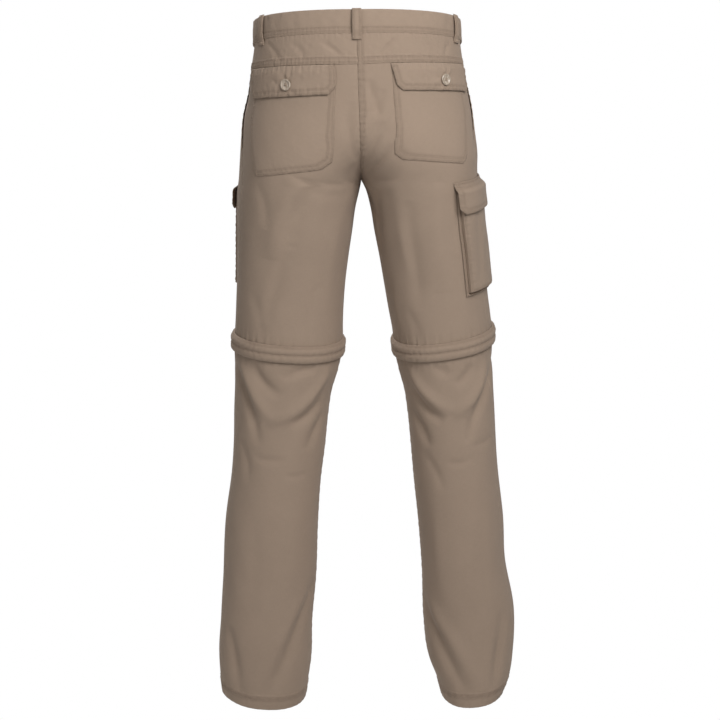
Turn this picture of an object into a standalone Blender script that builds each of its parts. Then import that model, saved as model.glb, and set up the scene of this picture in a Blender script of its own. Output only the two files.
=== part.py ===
"""Convertible zip-off trousers, hollow, in the form that they keep when they are worn.

The cloth is one smooth sheet, and every piece is cut from it. A place on the sheet is (r, v).
r runs round the body: 0 is the centre back, 1 the wearer's left side, -1 the right side, and 2 or -2 the
centre front. Below the crotch each leg is a ring of its own, and 0 and 2 (or 0 and -2) are its inseam.
v is the distance in mm below the top edge of the waistband.
The wearer faces -Y, their left is +X, and the origin is the middle of the waist.
"""

import math

import bmesh
import bpy
import numpy as np
from mathutils import Vector

MM = 0.001
LEFT, RIGHT = 1, -1
SIDE_NAMES = {LEFT: "left", RIGHT: "right"}

# Cloth, in mm
WALL = 1.4
DOUBLE_WALL = 1.8
LAP_RISE = 1.0
SEAM_GAP = 0.3
LAY_GAP = 0.6
R_MM = 245.0
SEAM_R = 0.5 * SEAM_GAP / R_MM

# Heights on the sheet, in mm below the top edge
WAISTBAND_DEPTH = 35.0
YOKE_SEAM = 74.0
CROTCH = 235.0
COVER_TOP = 477.5
COVER_DEPTH = 26.0
UPPER_LEG_END = 485.0
LOWER_LEG_TOP = 497.0
HEM = 1066.0
HEM_STITCH = 1044.0

# Round the sheet
SIDE_SEAM_R = 0.86
CENTRE_BACK_LAP_MM = 13.0
SEAT_LAP_END = CROTCH - 8
YOKE_LAP_MM = 9.5

# The centre plane drifts to the wearer's right between the waist and the crotch
CENTRE_DRIFT = 7.0
# From CURVE_TOP down, the trunk parts into two legs, whose rings meet at the crotch. CURVE_END is how fast they
# still part there.
CURVE_TOP = 120.0
CURVE_END = 0.35
# Squareness of a ring's back and front halves; 2 is an ellipse
BACK_POWER = 2.2
FRONT_POWER = 2.4

# Each row is a ring. v: its height on the sheet. outer and inner: reach from the centre plane to the side and
# to the inseam. front and back: reach to the front and back. middle: how far behind the origin its side point
# lies. tilt: rise per mm towards the back. rise: rise per mm away from the centre plane. sink: how far it hangs.
RING_COLUMNS = ("v", "outer", "inner", "front", "back", "middle", "tilt", "rise", "sink")
RINGS = {
    LEFT: (
        (0, 155, 0, 100, 107, 0, 0.20, 0.000, 0.0),
        (35, 157, 0, 104, 114, 0, 0.19, 0.000, 0.0),
        (74, 164, 0, 107, 120, 0, 0.14, 0.000, 0.0),
        (105, 168, 0, 109, 123, 0, 0.09, 0.000, 0.0),
        (140, 177, 0, 110, 126, 1, 0.05, 0.000, 0.0),
        (175, 182, 0, 109, 127, 3, 0.02, 0.000, 0.0),
        (210, 185, 0, 106, 125, 5, 0.00, 0.000, 0.0),
        (235, 187, 0, 102, 120, 7, 0.00, 0.004, 0.2),
        (250, 189, 3, 100, 117, 8, 0.00, 0.008, 0.8),
        (275, 190, 9, 98, 112, 8, -0.01, 0.016, 1.6),
        (310, 191, 14, 96, 106, 7, -0.02, 0.026, 2.8),
        (350, 192, 20, 93, 98, 5, -0.03, 0.038, 4.2),
        (390, 193, 25, 90, 92, 3, -0.04, 0.048, 5.4),
        (430, 195, 28, 88, 88, 2, -0.045, 0.058, 6.6),
        (478, 197, 30, 84, 85, 0, -0.045, 0.066, 7.5),
        (504, 198, 32, 83, 83, 0, -0.045, 0.067, 7.8),
        (526, 198, 36, 82, 82, 0, -0.045, 0.068, 8.0),
        (560, 198, 46, 80, 80, 0, -0.045, 0.069, 8.3),
        (600, 200, 52, 78, 79, 0, -0.045, 0.070, 8.8),
        (650, 201, 57, 75, 79, 1, -0.05, 0.072, 9.3),
        (705, 205, 64, 72, 80, 3, -0.05, 0.075, 10.0),
        (780, 215, 69, 68, 81, 5, -0.05, 0.080, 11.0),
        (860, 220, 72, 66, 80, 6, -0.05, 0.084, 11.6),
        (940, 226, 79, 68, 78, 5, -0.055, 0.087, 12.2),
        (1005, 230, 81, 72, 78, 3, -0.06, 0.090, 12.6),
        (1040, 228, 86, 74, 79, 2, -0.06, 0.090, 12.7),
        (1066, 225, 90, 75, 79, 2, -0.06, 0.090, 12.7),
    ),
    RIGHT: (
        (0, 156, 0, 100, 107, 0, 0.20, 0.015, 0.0),
        (35, 158, 0, 104, 114, 0, 0.19, 0.030, 0.0),
        (74, 162, 0, 107, 120, 0, 0.14, 0.050, 0.0),
        (105, 165, 0, 109, 123, 0, 0.09, 0.070, 0.0),
        (140, 170, 0, 110, 126, 1, 0.05, 0.080, 0.0),
        (175, 174, 0, 109, 127, 3, 0.02, 0.080, 0.0),
        (210, 178, 0, 106, 125, 5, 0.00, 0.080, 0.0),
        (235, 178, 0, 102, 120, 7, 0.00, 0.085, 0.2),
        (250, 179, 7, 100, 117, 8, 0.00, 0.088, 1.0),
        (275, 180, 14, 98, 112, 8, -0.01, 0.093, 2.2),
        (310, 183, 20, 97, 106, 7, -0.02, 0.102, 4.2),
        (350, 188, 28, 95, 100, 5, -0.03, 0.112, 6.2),
        (390, 192, 35, 93, 95, 3, -0.04, 0.122, 8.0),
        (430, 196, 42, 91, 92, 2, -0.045, 0.131, 9.8),
        (478, 202, 51, 88, 89, 0, -0.05, 0.138, 11.6),
        (504, 203, 54, 87, 88, 0, -0.05, 0.138, 11.8),
        (526, 204, 58, 86, 86, 0, -0.05, 0.137, 12.0),
        (560, 206, 67, 84, 85, 0, -0.05, 0.134, 12.0),
        (600, 209, 73, 81, 84, 0, -0.05, 0.130, 12.0),
        (650, 212, 78, 78, 84, 1, -0.05, 0.127, 12.0),
        (705, 216, 83, 75, 84, 3, -0.05, 0.124, 12.0),
        (780, 225, 91, 70, 84, 5, -0.05, 0.120, 12.0),
        (860, 230, 97, 68, 83, 6, -0.05, 0.120, 12.0),
        (940, 245, 100, 70, 80, 5, -0.055, 0.120, 12.0),
        (1005, 244, 109, 76, 84, 3, -0.06, 0.120, 12.0),
        (1040, 240, 122, 80, 88, 2, -0.06, 0.120, 12.0),
        (1066, 231, 129, 82, 90, 2, -0.06, 0.120, 12.0),
    ),
}

# The largest folds, each a soft ridge (height above 0) or trough (below 0) along a curve through three places
# on the sheet, fading out at both ends. r is measured from the centre back on either side.
FOLD_COLUMNS = ("side", "r0", "v0", "r1", "v1", "r2", "v2", "height", "half_width")
FOLDS = (
    # Seat, beside the centre back
    (RIGHT, 0.03, 138, 0.08, 130, 0.12, 106, -2.2, 7),
    (RIGHT, 0.03, 192, 0.08, 180, 0.10, 148, -2.2, 8),
    # Backs of the thighs
    (LEFT, 0.45, 225, 0.54, 262, 0.61, 345, 2.8, 14),
    (LEFT, 0.41, 222, 0.48, 272, 0.51, 330, -2.6, 11),
    (RIGHT, 0.20, 244, 0.15, 290, 0.12, 345, -3.0, 12),
    (RIGHT, 0.56, 240, 0.54, 308, 0.52, 400, 2.4, 15),
    # Back of the left knee
    (LEFT, 0.98, 520, 0.75, 566, 0.63, 638, -4.5, 10),
    (LEFT, 0.84, 506, 0.70, 552, 0.56, 596, 5.0, 11),
    (LEFT, 0.58, 598, 0.38, 574, 0.20, 514, 5.0, 11),
    (LEFT, 0.70, 508, 0.62, 538, 0.50, 556, -4.0, 9),
    (LEFT, 0.51, 530, 0.42, 517, 0.31, 514, -3.2, 9),
    (LEFT, 0.44, 600, 0.33, 590, 0.21, 566, -4.0, 9),
    (LEFT, 0.30, 645, 0.25, 620, 0.15, 588, -3.5, 11),
    # Back of the right knee
    (RIGHT, 0.25, 512, 0.32, 550, 0.50, 588, 5.0, 11),
    (RIGHT, 0.50, 592, 0.67, 566, 0.80, 520, 5.0, 11),
    (RIGHT, 1.06, 520, 0.72, 580, 0.59, 640, -4.5, 10),
    (RIGHT, 0.66, 518, 0.61, 535, 0.53, 546, -3.2, 9),
    (RIGHT, 0.43, 512, 0.47, 520, 0.51, 530, -2.6, 8),
    (RIGHT, 0.22, 548, 0.30, 576, 0.44, 598, -4.0, 9),
    (RIGHT, 0.15, 586, 0.25, 612, 0.31, 640, -3.5, 11),
    # Above the hems
    (LEFT, 0.10, 860, 0.30, 955, 0.47, 1050, -4.5, 13),
    (LEFT, 0.22, 870, 0.42, 960, 0.58, 1050, 3.0, 13),
    (LEFT, 0.78, 940, 0.70, 990, 0.66, 1045, -4.0, 12),
    (RIGHT, 0.04, 890, 0.28, 968, 0.42, 1048, -4.5, 13),
    (RIGHT, 0.16, 890, 0.40, 968, 0.54, 1048, 3.0, 13),
    (RIGHT, 0.74, 920, 0.70, 980, 0.64, 1040, -4.0, 12),
    # Front: hip creases, knees and shins
    (LEFT, 1.90, 214, 1.72, 226, 1.50, 212, -3.0, 11),
    (RIGHT, 1.90, 220, 1.74, 234, 1.52, 220, -3.0, 11),
    (LEFT, 1.76, 290, 1.80, 350, 1.76, 420, -2.8, 13),
    (RIGHT, 1.60, 300, 1.66, 365, 1.62, 430, -2.8, 14),
    (LEFT, 1.25, 520, 1.42, 560, 1.62, 566, -4.0, 11),
    (LEFT, 1.32, 600, 1.50, 622, 1.72, 606, 3.5, 13),
    (RIGHT, 1.22, 530, 1.40, 562, 1.60, 560, -4.0, 11),
    (RIGHT, 1.40, 590, 1.58, 618, 1.76, 596, 3.5, 13),
    (LEFT, 1.85, 880, 1.62, 965, 1.44, 1040, -4.0, 14),
    (RIGHT, 1.80, 900, 1.60, 975, 1.46, 1040, -4.0, 14),
)

# Grid lines of the panels
BACK_R = (SEAM_R, 0.05, 0.10, 0.145, 0.185, 0.25, 0.33, 0.41, 0.49, 0.57, 0.65, 0.72, 0.79, SIDE_SEAM_R - SEAM_R)
FRONT_R = (SIDE_SEAM_R + SEAM_R, 0.94, 1.02, 1.10, 1.19, 1.28, 1.38, 1.48, 1.58, 1.68, 1.78, 1.88, 1.975, 2 - SEAM_R)
YOKE_V = (WAISTBAND_DEPTH + 0.15, 50, YOKE_SEAM - YOKE_LAP_MM - 1.2, YOKE_SEAM - YOKE_LAP_MM, YOKE_SEAM - 0.15)
SEAT_V = (YOKE_SEAM + 0.15, 86, 104, 124, 146, 168, 188, 206, 220, 229, CROTCH, 243, 254, 270)
THIGH_V = (292, 318, 348, 378, 408, 436, 460, UPPER_LEG_END)
BACK_V = SEAT_V + THIGH_V
FRONT_V = (WAISTBAND_DEPTH + 0.15, 54) + BACK_V
LOWER_V = (
    LOWER_LEG_TOP, 512, 529, 548, 569, 591, 615, 643, 678, 722, 775, 832, 889, 942, 985, 1020, HEM_STITCH, HEM,
)
LEG_BACK_R = (2 * SEAM_R, 0.05, 0.13, 0.22, 0.31, 0.40, 0.49, 0.58, 0.67, 0.76, SIDE_SEAM_R - 2 * SEAM_R)
LEG_FRONT_R = (SIDE_SEAM_R + 2 * SEAM_R, 0.97, 1.09, 1.21, 1.33, 1.45, 1.58, 1.71, 1.84, 1.94, 2 - 2 * SEAM_R)
# The first rows of the front reach past the lower end of the slant pocket's mouth
FACING_ROWS = 11

# Slant pocket: its mouth runs from the waistband to the side seam
MOUTH_TOP = (1.13, WAISTBAND_DEPTH)
MOUTH_END = (SIDE_SEAM_R, 192.0)
MOUTH_UNDERLAP = 12.0
MOUTH_GAPE = 3.5
MOUTH_GAPE_REACH = 26.0

# Back pocket and its flap: corners (r, v) in order, from the inner top one outwards and round
POCKET_TOP, FLAP_TOP = 86.0, YOKE_SEAM + 0.5
BACK_POCKET = {
    LEFT: (
        (0.105, POCKET_TOP), (0.725, POCKET_TOP), (0.712, 216.0), (0.685, 223.0), (0.290, 210.0), (0.206, 199.5),
        (0.168, 184.0),
    ),
    RIGHT: (
        (0.176, POCKET_TOP), (0.745, POCKET_TOP), (0.715, 209.0), (0.690, 215.6), (0.286, 200.5), (0.224, 191.0),
        (0.193, 173.0),
    ),
}
BACK_FLAP = {
    LEFT: ((0.105, FLAP_TOP), (0.805, FLAP_TOP), (0.740, 111.0), (0.705, 116.0), (0.145, 111.0), (0.106, 100.5)),
    RIGHT: ((0.168, FLAP_TOP), (0.820, FLAP_TOP), (0.800, 112.0), (0.780, 116.0), (0.232, 109.5), (0.195, 101.5)),
}
FLAP_STAND_OFF = 2.6
FLAP_RAMP = 10.0
FLAP_V = (FLAP_TOP, 79.5, 86, 95, 105, 116.0)

# Leg pocket: where its rear and front edges run on each side
CARGO_REAR_R = {LEFT: 1.08, RIGHT: 0.67}
CARGO_FRONT_R = {LEFT: 1.62, RIGHT: 1.28}
CARGO_FLAP_TOP, CARGO_TOP, CARGO_BOTTOM = 243.0, 259.0, 414.0
CARGO_FLAP_BOTTOM = 288.0
CARGO_FLANGE = 4.5
CARGO_STAND = 8.6
CARGO_WALL_STEP = 2.0
CARGO_FLAP_SLIP, CARGO_FLAP_FLARE = 3.0, 1.6
CARGO_CORNER_R, CARGO_CORNER_V = 0.035, 9.0
CARGO_FLAP_V = (CARGO_FLAP_TOP, 248, 253, CARGO_TOP, 270, 279, CARGO_FLAP_BOTTOM)

# Fly: it laps over the right front, and its bottom is rounded
FLY_LAP_R, FLY_WIDTH = 0.025, 38.0
FLY_BOTTOM, FLY_ROUND, FLY_ROUND_TALL = 188.0, 26.0, 41.6

# Waistband ends at the centre front
BAND_LAP, BAND_UNDERLAP, BAND_RAMP = 7.0, 34.0, 26.0
BAND_WALL, BAND_RISE = 2.4, 0.8

LOOP_WIDTH = 13.0
LOOP_PLACES = {
    "belt_loop_centre_back": 0.0,
    "belt_loop_back_left": 0.69,
    "belt_loop_back_right": -0.74,
    "belt_loop_front_left": 1.50,
    "belt_loop_front_right": -1.50,
}
# Belt loop: height on the sheet and how far its inner face stands off the sheet
LOOP_PROFILE = ((-1.5, 1.5), (4, 3.2), (11, 4.2), (19, 4.4), (26, 4.0), (31.5, 3.2), (37, 1.0), (43, LAY_GAP))
LOOP_WALL = 1.6

# Zip cover: distance below its top edge and how far its outer face stands off the sheet
COVER_PROFILE = ((0, 2.6), (3, 5.0), (8, 6.5), (13.5, 5.6), (19.5, 6.6), (COVER_DEPTH, 4.2))
RING_R = (0.0, *BACK_R[1:-1], SIDE_SEAM_R, *FRONT_R[1:-1], 2.0)

# Zip: its tape fills the gap between the leg parts, and the closed coil stands up along its middle
ZIP_COIL_HALF, ZIP_COIL_RISE, ZIP_TAPE = 2.8, 0.7, 1.1
SLIDER_SIZE = (8.5, 11.0, 1.6)
SLIDER_R = 1.12

BUTTON_RADIUS, BUTTON_THICK, BUTTON_RIM, BUTTON_DISH = 8.6, 3.0, 2.2, 1.9
BUTTON_SIDES = 16
# Buttons: place on the sheet and how far the cloth under them stands off it
BUTTON_PLACES = {
    "button_back_left": (0.405, 98.0, FLAP_STAND_OFF + DOUBLE_WALL),
    "button_back_right": (-0.532, 98.0, FLAP_STAND_OFF + DOUBLE_WALL),
    "button_waist": (1.955, 17.5, BAND_RISE),
}

CLOTH_COLOUR = (0.30, 0.235, 0.18, 1.0)
BUTTON_COLOUR = (0.50, 0.42, 0.34, 1.0)
TAPE_COLOUR = (0.20, 0.155, 0.12, 1.0)
SLIDER_COLOUR = (0.25, 0.23, 0.21, 1.0)


def smooth_steps(x):
    """0 below 0, 1 above 1, and a smooth climb between."""
    x = np.clip(x, 0.0, 1.0)
    return x * x * (3 - 2 * x)


def curve_through(v, knots, values):
    """A smooth curve through the knots, which takes its slope at each from the neighbours."""
    knots, values = np.asarray(knots, float), np.asarray(values, float)
    slopes = np.gradient(values, knots)
    v = np.clip(v, knots[0], knots[-1])
    i = np.clip(np.searchsorted(knots, v, side="right") - 1, 0, len(knots) - 2)
    span = knots[i + 1] - knots[i]
    s = (v - knots[i]) / span
    rest = (2 * s**3 - 3 * s**2 + 1) * values[i] + (3 * s**2 - 2 * s**3) * values[i + 1]
    return rest + span * ((s**3 - 2 * s**2 + s) * slopes[i] + (s**3 - s**2) * slopes[i + 1])


def ring_values(side, v):
    """Every column of RINGS at height v, by name."""
    table = np.array(RINGS[side], float)
    return {name: curve_through(v, table[:, 0], table[:, i]) for i, name in enumerate(RING_COLUMNS) if i}


def fold_height(side, r, v):
    """How far the folds lift the cloth at a place, in mm."""
    lift = np.zeros(np.broadcast(r, v).shape)
    across, down = np.abs(r) * R_MM, v + np.zeros_like(r)
    for row in FOLDS:
        fold = dict(zip(FOLD_COLUMNS, row))
        if fold["side"] != side:
            continue
        start, middle, end = (np.array([fold[f"r{i}"] * R_MM, fold[f"v{i}"]]) for i in range(3))
        control = 2 * middle - 0.5 * (start + end)
        s = np.linspace(0, 1, 13)[:, None]
        line = (1 - s) ** 2 * start + 2 * s * (1 - s) * control + s**2 * end
        nearest = np.full(lift.shape, np.inf)
        along = np.zeros(lift.shape)
        for i in range(len(line) - 1):
            step = line[i + 1] - line[i]
            share = ((across - line[i, 0]) * step[0] + (down - line[i, 1]) * step[1]) / (step @ step)
            share = np.clip(share, 0, 1)
            gap = np.hypot(across - line[i, 0] - share * step[0], down - line[i, 1] - share * step[1])
            closer = gap < nearest
            nearest = np.where(closer, gap, nearest)
            along = np.where(closer, (i + share) / (len(line) - 1), along)
        fade = np.sin(math.pi * np.clip(along, 0, 1)) ** 0.6
        lift += fold["height"] * fade * np.exp(-((nearest / fold["half_width"]) ** 2))
    return lift


def mouth_distance(r, v):
    """How far a place lies in front of the slant pocket's mouth, in mm, and its share of the way down it."""
    top = np.array([MOUTH_TOP[0] * R_MM, MOUTH_TOP[1]])
    run = np.array([MOUTH_END[0] * R_MM, MOUTH_END[1]]) - top
    x, y = np.abs(r) * R_MM - top[0], v - top[1]
    return (x * run[1] - y * run[0]) / np.hypot(*run), (x * run[0] + y * run[1]) / (run @ run)


def mouth_gape(r, v):
    """The front stands a little away along the pocket's mouth, most at its middle."""
    away, along = mouth_distance(r, v)
    inside = (along > 0) & (along < 1) & (away > -1)
    bow = np.sin(math.pi * np.clip(along, 0, 1)) * (1 - smooth_steps(away / MOUTH_GAPE_REACH))
    return np.where(inside, MOUTH_GAPE * bow, 0.0)


def smooth_sheet(side, r, v):
    """The sheet before its folds, in mm. r and v are arrays of one shape."""
    t = 1 - np.abs(r)
    ring = ring_values(side, v)
    share = np.clip((v - CURVE_TOP) / (CROTCH - CURVE_TOP), 0, 1)
    overlap = share * share * (3 - 2 * share) - CURVE_END * share * share * (1 - share)
    half_width = (ring["outer"] - np.where(v > CROTCH, ring["inner"], 0)) / (1 + overlap)
    centre = ring["outer"] - half_width
    power = np.where(t < 0, FRONT_POWER, BACK_POWER)
    angle = np.abs(t) * np.arccos(-(overlap ** (power / 2)))
    x = centre + half_width * np.sign(np.cos(angle)) * np.abs(np.cos(angle)) ** (2 / power)
    reach = np.where(t < 0, -(ring["front"] + ring["middle"]), ring["back"] - ring["middle"])
    y = ring["middle"] + reach * np.abs(np.sin(angle)) ** (2 / power)
    z = -v - ring["sink"] + ring["tilt"] * y + ring["rise"] * x
    drift = CENTRE_DRIFT * smooth_steps(v / CROTCH)
    return np.stack([side * x - drift, y, z], -1)


def normal_of(shape, side, r, v):
    """The outward direction of a sheet function at each place."""
    step_r, step_v = 0.004, 1.0
    before, after = np.abs(r) - step_r, np.abs(r) + step_r
    leg = v > CROTCH
    # A leg's ring runs on past its inseam, and the trunk's stops at the centre plane.
    before = np.where(before < 0, np.where(leg, before + 2, 0.0), before)
    after = np.where(after > 2, np.where(leg, after - 2, 2.0), after)
    across = shape(side, side * after, v) - shape(side, side * before, v)
    down = shape(side, r, v + step_v) - shape(side, r, v - step_v)
    found = side * np.cross(across, down)
    return found / np.linalg.norm(found, axis=-1, keepdims=True)


def folded_sheet(side, r, v):
    """The sheet with its folds."""
    lift = fold_height(side, r, v)[..., None]
    return smooth_sheet(side, r, v) + lift * normal_of(smooth_sheet, side, r, v)


def on_sheet(r, v, stand_off=0.0, folded=True):
    """Points in mm that stand off the sheet by a distance. r may pass 2, where it comes round from -2."""
    r, v = np.broadcast_arrays(np.asarray(r, float), np.asarray(v, float))
    stand_off = np.broadcast_to(np.asarray(stand_off, float), r.shape)
    r = np.where(np.abs(r) > 2, (r + 2) % 4 - 2, r)
    points = np.empty(r.shape + (3,))
    shape = folded_sheet if folded else smooth_sheet
    for side in (LEFT, RIGHT):
        here = (r >= 0) if side == LEFT else (r < 0)
        if here.any():
            away = normal_of(shape, side, r[here], v[here])
            points[here] = shape(side, r[here], v[here]) + away * stand_off[here][:, None]
    return points


def cloth_material(name, colour, roughness=0.85):
    made = bpy.data.materials.new(name)
    made.use_nodes = True
    shader = made.node_tree.nodes["Principled BSDF"]
    shader.inputs["Base Color"].default_value = colour
    shader.inputs["Roughness"].default_value = roughness
    return made


def add_piece(name, mesh, material):
    """Links a mesh as one named piece of the trousers."""
    obj = bpy.data.objects.new(name, mesh)
    obj.data.materials.append(bpy.data.materials[material])
    bpy.data.collections["zip_off_trousers"].objects.link(obj)
    return obj


def flat_grid(r_lines, v_lines):
    """A flat grid in the pattern plane, in mm, with a vertex where the lines cross."""
    flat = bmesh.new()
    columns, rows = len(r_lines) - 1, len(v_lines) - 1
    bmesh.ops.create_grid(flat, x_segments=columns, y_segments=rows, size=0.5)
    for vert in flat.verts:
        column = round((vert.co.x + 0.5) * columns)
        row = round((vert.co.y + 0.5) * rows)
        vert.co = (r_lines[column] * R_MM, v_lines[row], 0)
    return flat


def trim(flat, start, end, keep):
    """Cuts the flat grid along the line from start to end, and keeps the side that holds the place keep."""
    p, q, kept = (Vector((r * R_MM, v, 0)) for r, v in (start, end, keep))
    across = Vector((q.y - p.y, p.x - q.x, 0))
    if across.dot(kept - p) > 0:
        across.negate()
    bmesh.ops.bisect_plane(
        flat,
        geom=flat.verts[:] + flat.edges[:] + flat.faces[:],
        dist=0.01,
        plane_co=p,
        plane_no=across,
        clear_outer=True,
    )


def cloth_piece(name, flat, stand_off, wall, cuts=(), aside=0.0, folded=True, lap=None, material="cloth"):
    """Lays a flat grid on the sheet, cuts it to its outline and gives it a wall.

    stand_off is how far its outer face stands off the sheet, or a function of (r, v) that says so.
    cuts are lines as trim takes them. aside moves the piece off the centre plane. lap, a function of (r, v), is 1
    where a seam allowance lies under it and raises its outer face, over a plain inside."""
    # One diagonal everywhere, so that a piece that lies on another bends where the other does
    bmesh.ops.triangulate(flat, faces=flat.faces[:], quad_method="FIXED")
    outer_place = flat.verts.layers.float_vector.new("outer")
    inner_place = flat.verts.layers.float_vector.new("inner")
    places = np.array([vert.co[:2] for vert in flat.verts])
    r, v = places[:, 0] / R_MM, places[:, 1]
    height = stand_off(r, v) if callable(stand_off) else np.full(r.shape, float(stand_off))
    raised = LAP_RISE * lap(r, v) if lap else 0.0
    outside = on_sheet(r, v, height + raised, folded) + (aside, 0, 0)
    inside = on_sheet(r, v, height - wall, folded) + (aside, 0, 0)
    for vert, out, into in zip(flat.verts, outside, inside):
        vert[outer_place] = Vector(out)
        vert[inner_place] = Vector(into)
    # The cuts are made in the flat, and their new corners lie on the flat's facets.
    for cut in cuts:
        trim(flat, *cut)
    bmesh.ops.triangulate(flat, faces=[face for face in flat.faces if len(face.verts) > 3])
    outer = flat.verts[:]
    edges = [edge for edge in flat.edges if edge.is_boundary]
    copied = bmesh.ops.duplicate(flat, geom=outer + flat.edges[:] + flat.faces[:])["vert_map"]
    for vert in outer:
        vert.co = vert[outer_place] * MM
        copied[vert].co = vert[inner_place] * MM
    for edge in edges:
        start, end = edge.verts
        flat.faces.new((start, end, copied[end], copied[start]))
    bmesh.ops.recalc_face_normals(flat, faces=flat.faces[:])
    if flat.calc_volume(signed=True) < 0:
        bmesh.ops.reverse_faces(flat, faces=flat.faces[:])
    mesh = bpy.data.meshes.new(name)
    flat.to_mesh(mesh)
    flat.free()
    return add_piece(name, mesh, material)


def close_ring(flat):
    """Joins the last column of a flat grid to its first, so that it goes all the way round a leg."""
    first = min(flat.verts, key=lambda vert: abs(vert.co.x)).co.x
    last = max(flat.verts, key=lambda vert: abs(vert.co.x)).co.x
    starts = {round(vert.co.y, 3): vert for vert in flat.verts if vert.co.x == first}
    pairs = {vert: starts[round(vert.co.y, 3)] for vert in flat.verts if vert.co.x == last}
    bmesh.ops.weld_verts(flat, targetmap=pairs)
    return flat


def sided(lines, side):
    """Grid lines for the left, turned round for the right. A line at 0 stays on its own side."""
    return [side * max(r, 1e-6) for r in lines]


def yoke_lap(r, v):
    """Where the yoke is raised: along its lower seam, and on the left along the centre back."""
    centre = (r >= 0) & (r * R_MM < CENTRE_BACK_LAP_MM - 0.5)
    return (centre | (v > YOKE_SEAM - YOKE_LAP_MM - 0.1)).astype(float)


def seat_lap(r, v):
    """Where the left back is raised along the centre back seam, down to just above the crotch."""
    return ((r * R_MM < CENTRE_BACK_LAP_MM - 0.5) & (v < SEAT_LAP_END)).astype(float)


def hem_lap(r, v):
    """Where the turned-up hem makes the leg thicker."""
    return (v > HEM_STITCH - 0.1).astype(float)


def make_upper_panels():
    """The yoke and back, and the front with the facing of its slant pocket, on each side."""
    lap_lines = (SEAM_R, (CENTRE_BACK_LAP_MM - 1.2) / R_MM, (CENTRE_BACK_LAP_MM + 0.2) / R_MM) + BACK_R[2:]
    slip = MOUTH_UNDERLAP / R_MM
    for side in (LEFT, RIGHT):
        aside = side * SEAM_GAP / 2
        name = SIDE_NAMES[side]
        back_lines = sided(lap_lines if side == LEFT else BACK_R, side)
        cloth_piece(f"yoke_{name}", flat_grid(back_lines, YOKE_V), 0, WALL, aside=aside, lap=yoke_lap)
        back = flat_grid(back_lines, BACK_V)
        cloth_piece(f"back_{name}", back, 0, WALL, aside=aside, lap=seat_lap if side == LEFT else None)

        front = flat_grid(sided(FRONT_R, side), FRONT_V)
        mouth = [(side * r, v) for r, v in (MOUTH_TOP, MOUTH_END)]
        cloth_piece(f"front_{name}", front, mouth_gape, WALL, [(*mouth, (side * 2, 120))], aside)

        facing = flat_grid(sided(FRONT_R[:6], side), FRONT_V[:FACING_ROWS])
        slipped = [(r + side * slip, v) for r, v in mouth]
        cuts = [(*slipped, (side * SIDE_SEAM_R, WAISTBAND_DEPTH))]
        cloth_piece(f"pocket_facing_{name}", facing, -WALL - LAY_GAP, WALL, cuts, aside, folded=False)


def make_lower_legs():
    """The front and back of each zip-off leg, with a turned-up hem."""
    for side in (LEFT, RIGHT):
        for panel, lines in (("back", LEG_BACK_R), ("front", LEG_FRONT_R)):
            flat = flat_grid(sided(lines, side), LOWER_V)
            cloth_piece(f"lower_{panel}_{SIDE_NAMES[side]}", flat, 0, WALL, lap=hem_lap)


def corner_cut(side, corner, wide, tall, keep):
    """The cut that takes a bottom corner off a pocket or flap. wide is in r, towards keep, and tall is in mm."""
    r, v = corner
    inwards = math.copysign(wide, keep[0] - r)
    return (side * r, v - tall), (side * (r + inwards), v), (side * keep[0], keep[1])


def outline_cuts(side, corners):
    """The cuts that trim a grid to a convex outline. corners are (r, v) in order, as on the left."""
    middle = np.mean(corners, axis=0)
    keep = (side * middle[0], middle[1])
    cuts = []
    for (r0, v0), (r1, v1) in zip(corners, corners[1:] + corners[:1]):
        if r0 != r1 and v0 != v1:
            cuts.append(((side * r0, v0), (side * r1, v1), keep))
    return cuts


def lay_on_back(name, side, corners, v_lines, stand_off, wall):
    """A piece that lies on the back panel, on the panel's own grid lines, cut to its outline."""
    inner = min(r for r, _ in corners)
    outer = max(r for r, _ in corners)
    r_lines = [inner, *(r for r in BACK_R if inner + 0.02 < r < outer - 0.01), outer]
    flat = flat_grid(sided(r_lines, side), v_lines)
    cloth_piece(f"{name}_{SIDE_NAMES[side]}", flat, stand_off, wall, outline_cuts(side, corners))


def make_back_pockets():
    """A patch pocket with a rounded inner corner, and the flap that hangs over it from the yoke seam."""
    def hang(r, v):
        ramp = smooth_steps((v - FLAP_TOP) / FLAP_RAMP)
        return DOUBLE_WALL + LAY_GAP + (FLAP_STAND_OFF - LAY_GAP) * ramp

    for side in (LEFT, RIGHT):
        corners = BACK_POCKET[side]
        lowest = max(v for _, v in corners)
        v_lines = [v for v in BACK_V if POCKET_TOP <= v < lowest] + [lowest]
        lay_on_back("back_pocket", side, corners, v_lines, WALL + LAY_GAP, WALL)
        lay_on_back("back_flap", side, BACK_FLAP[side], FLAP_V, hang, DOUBLE_WALL)


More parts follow.
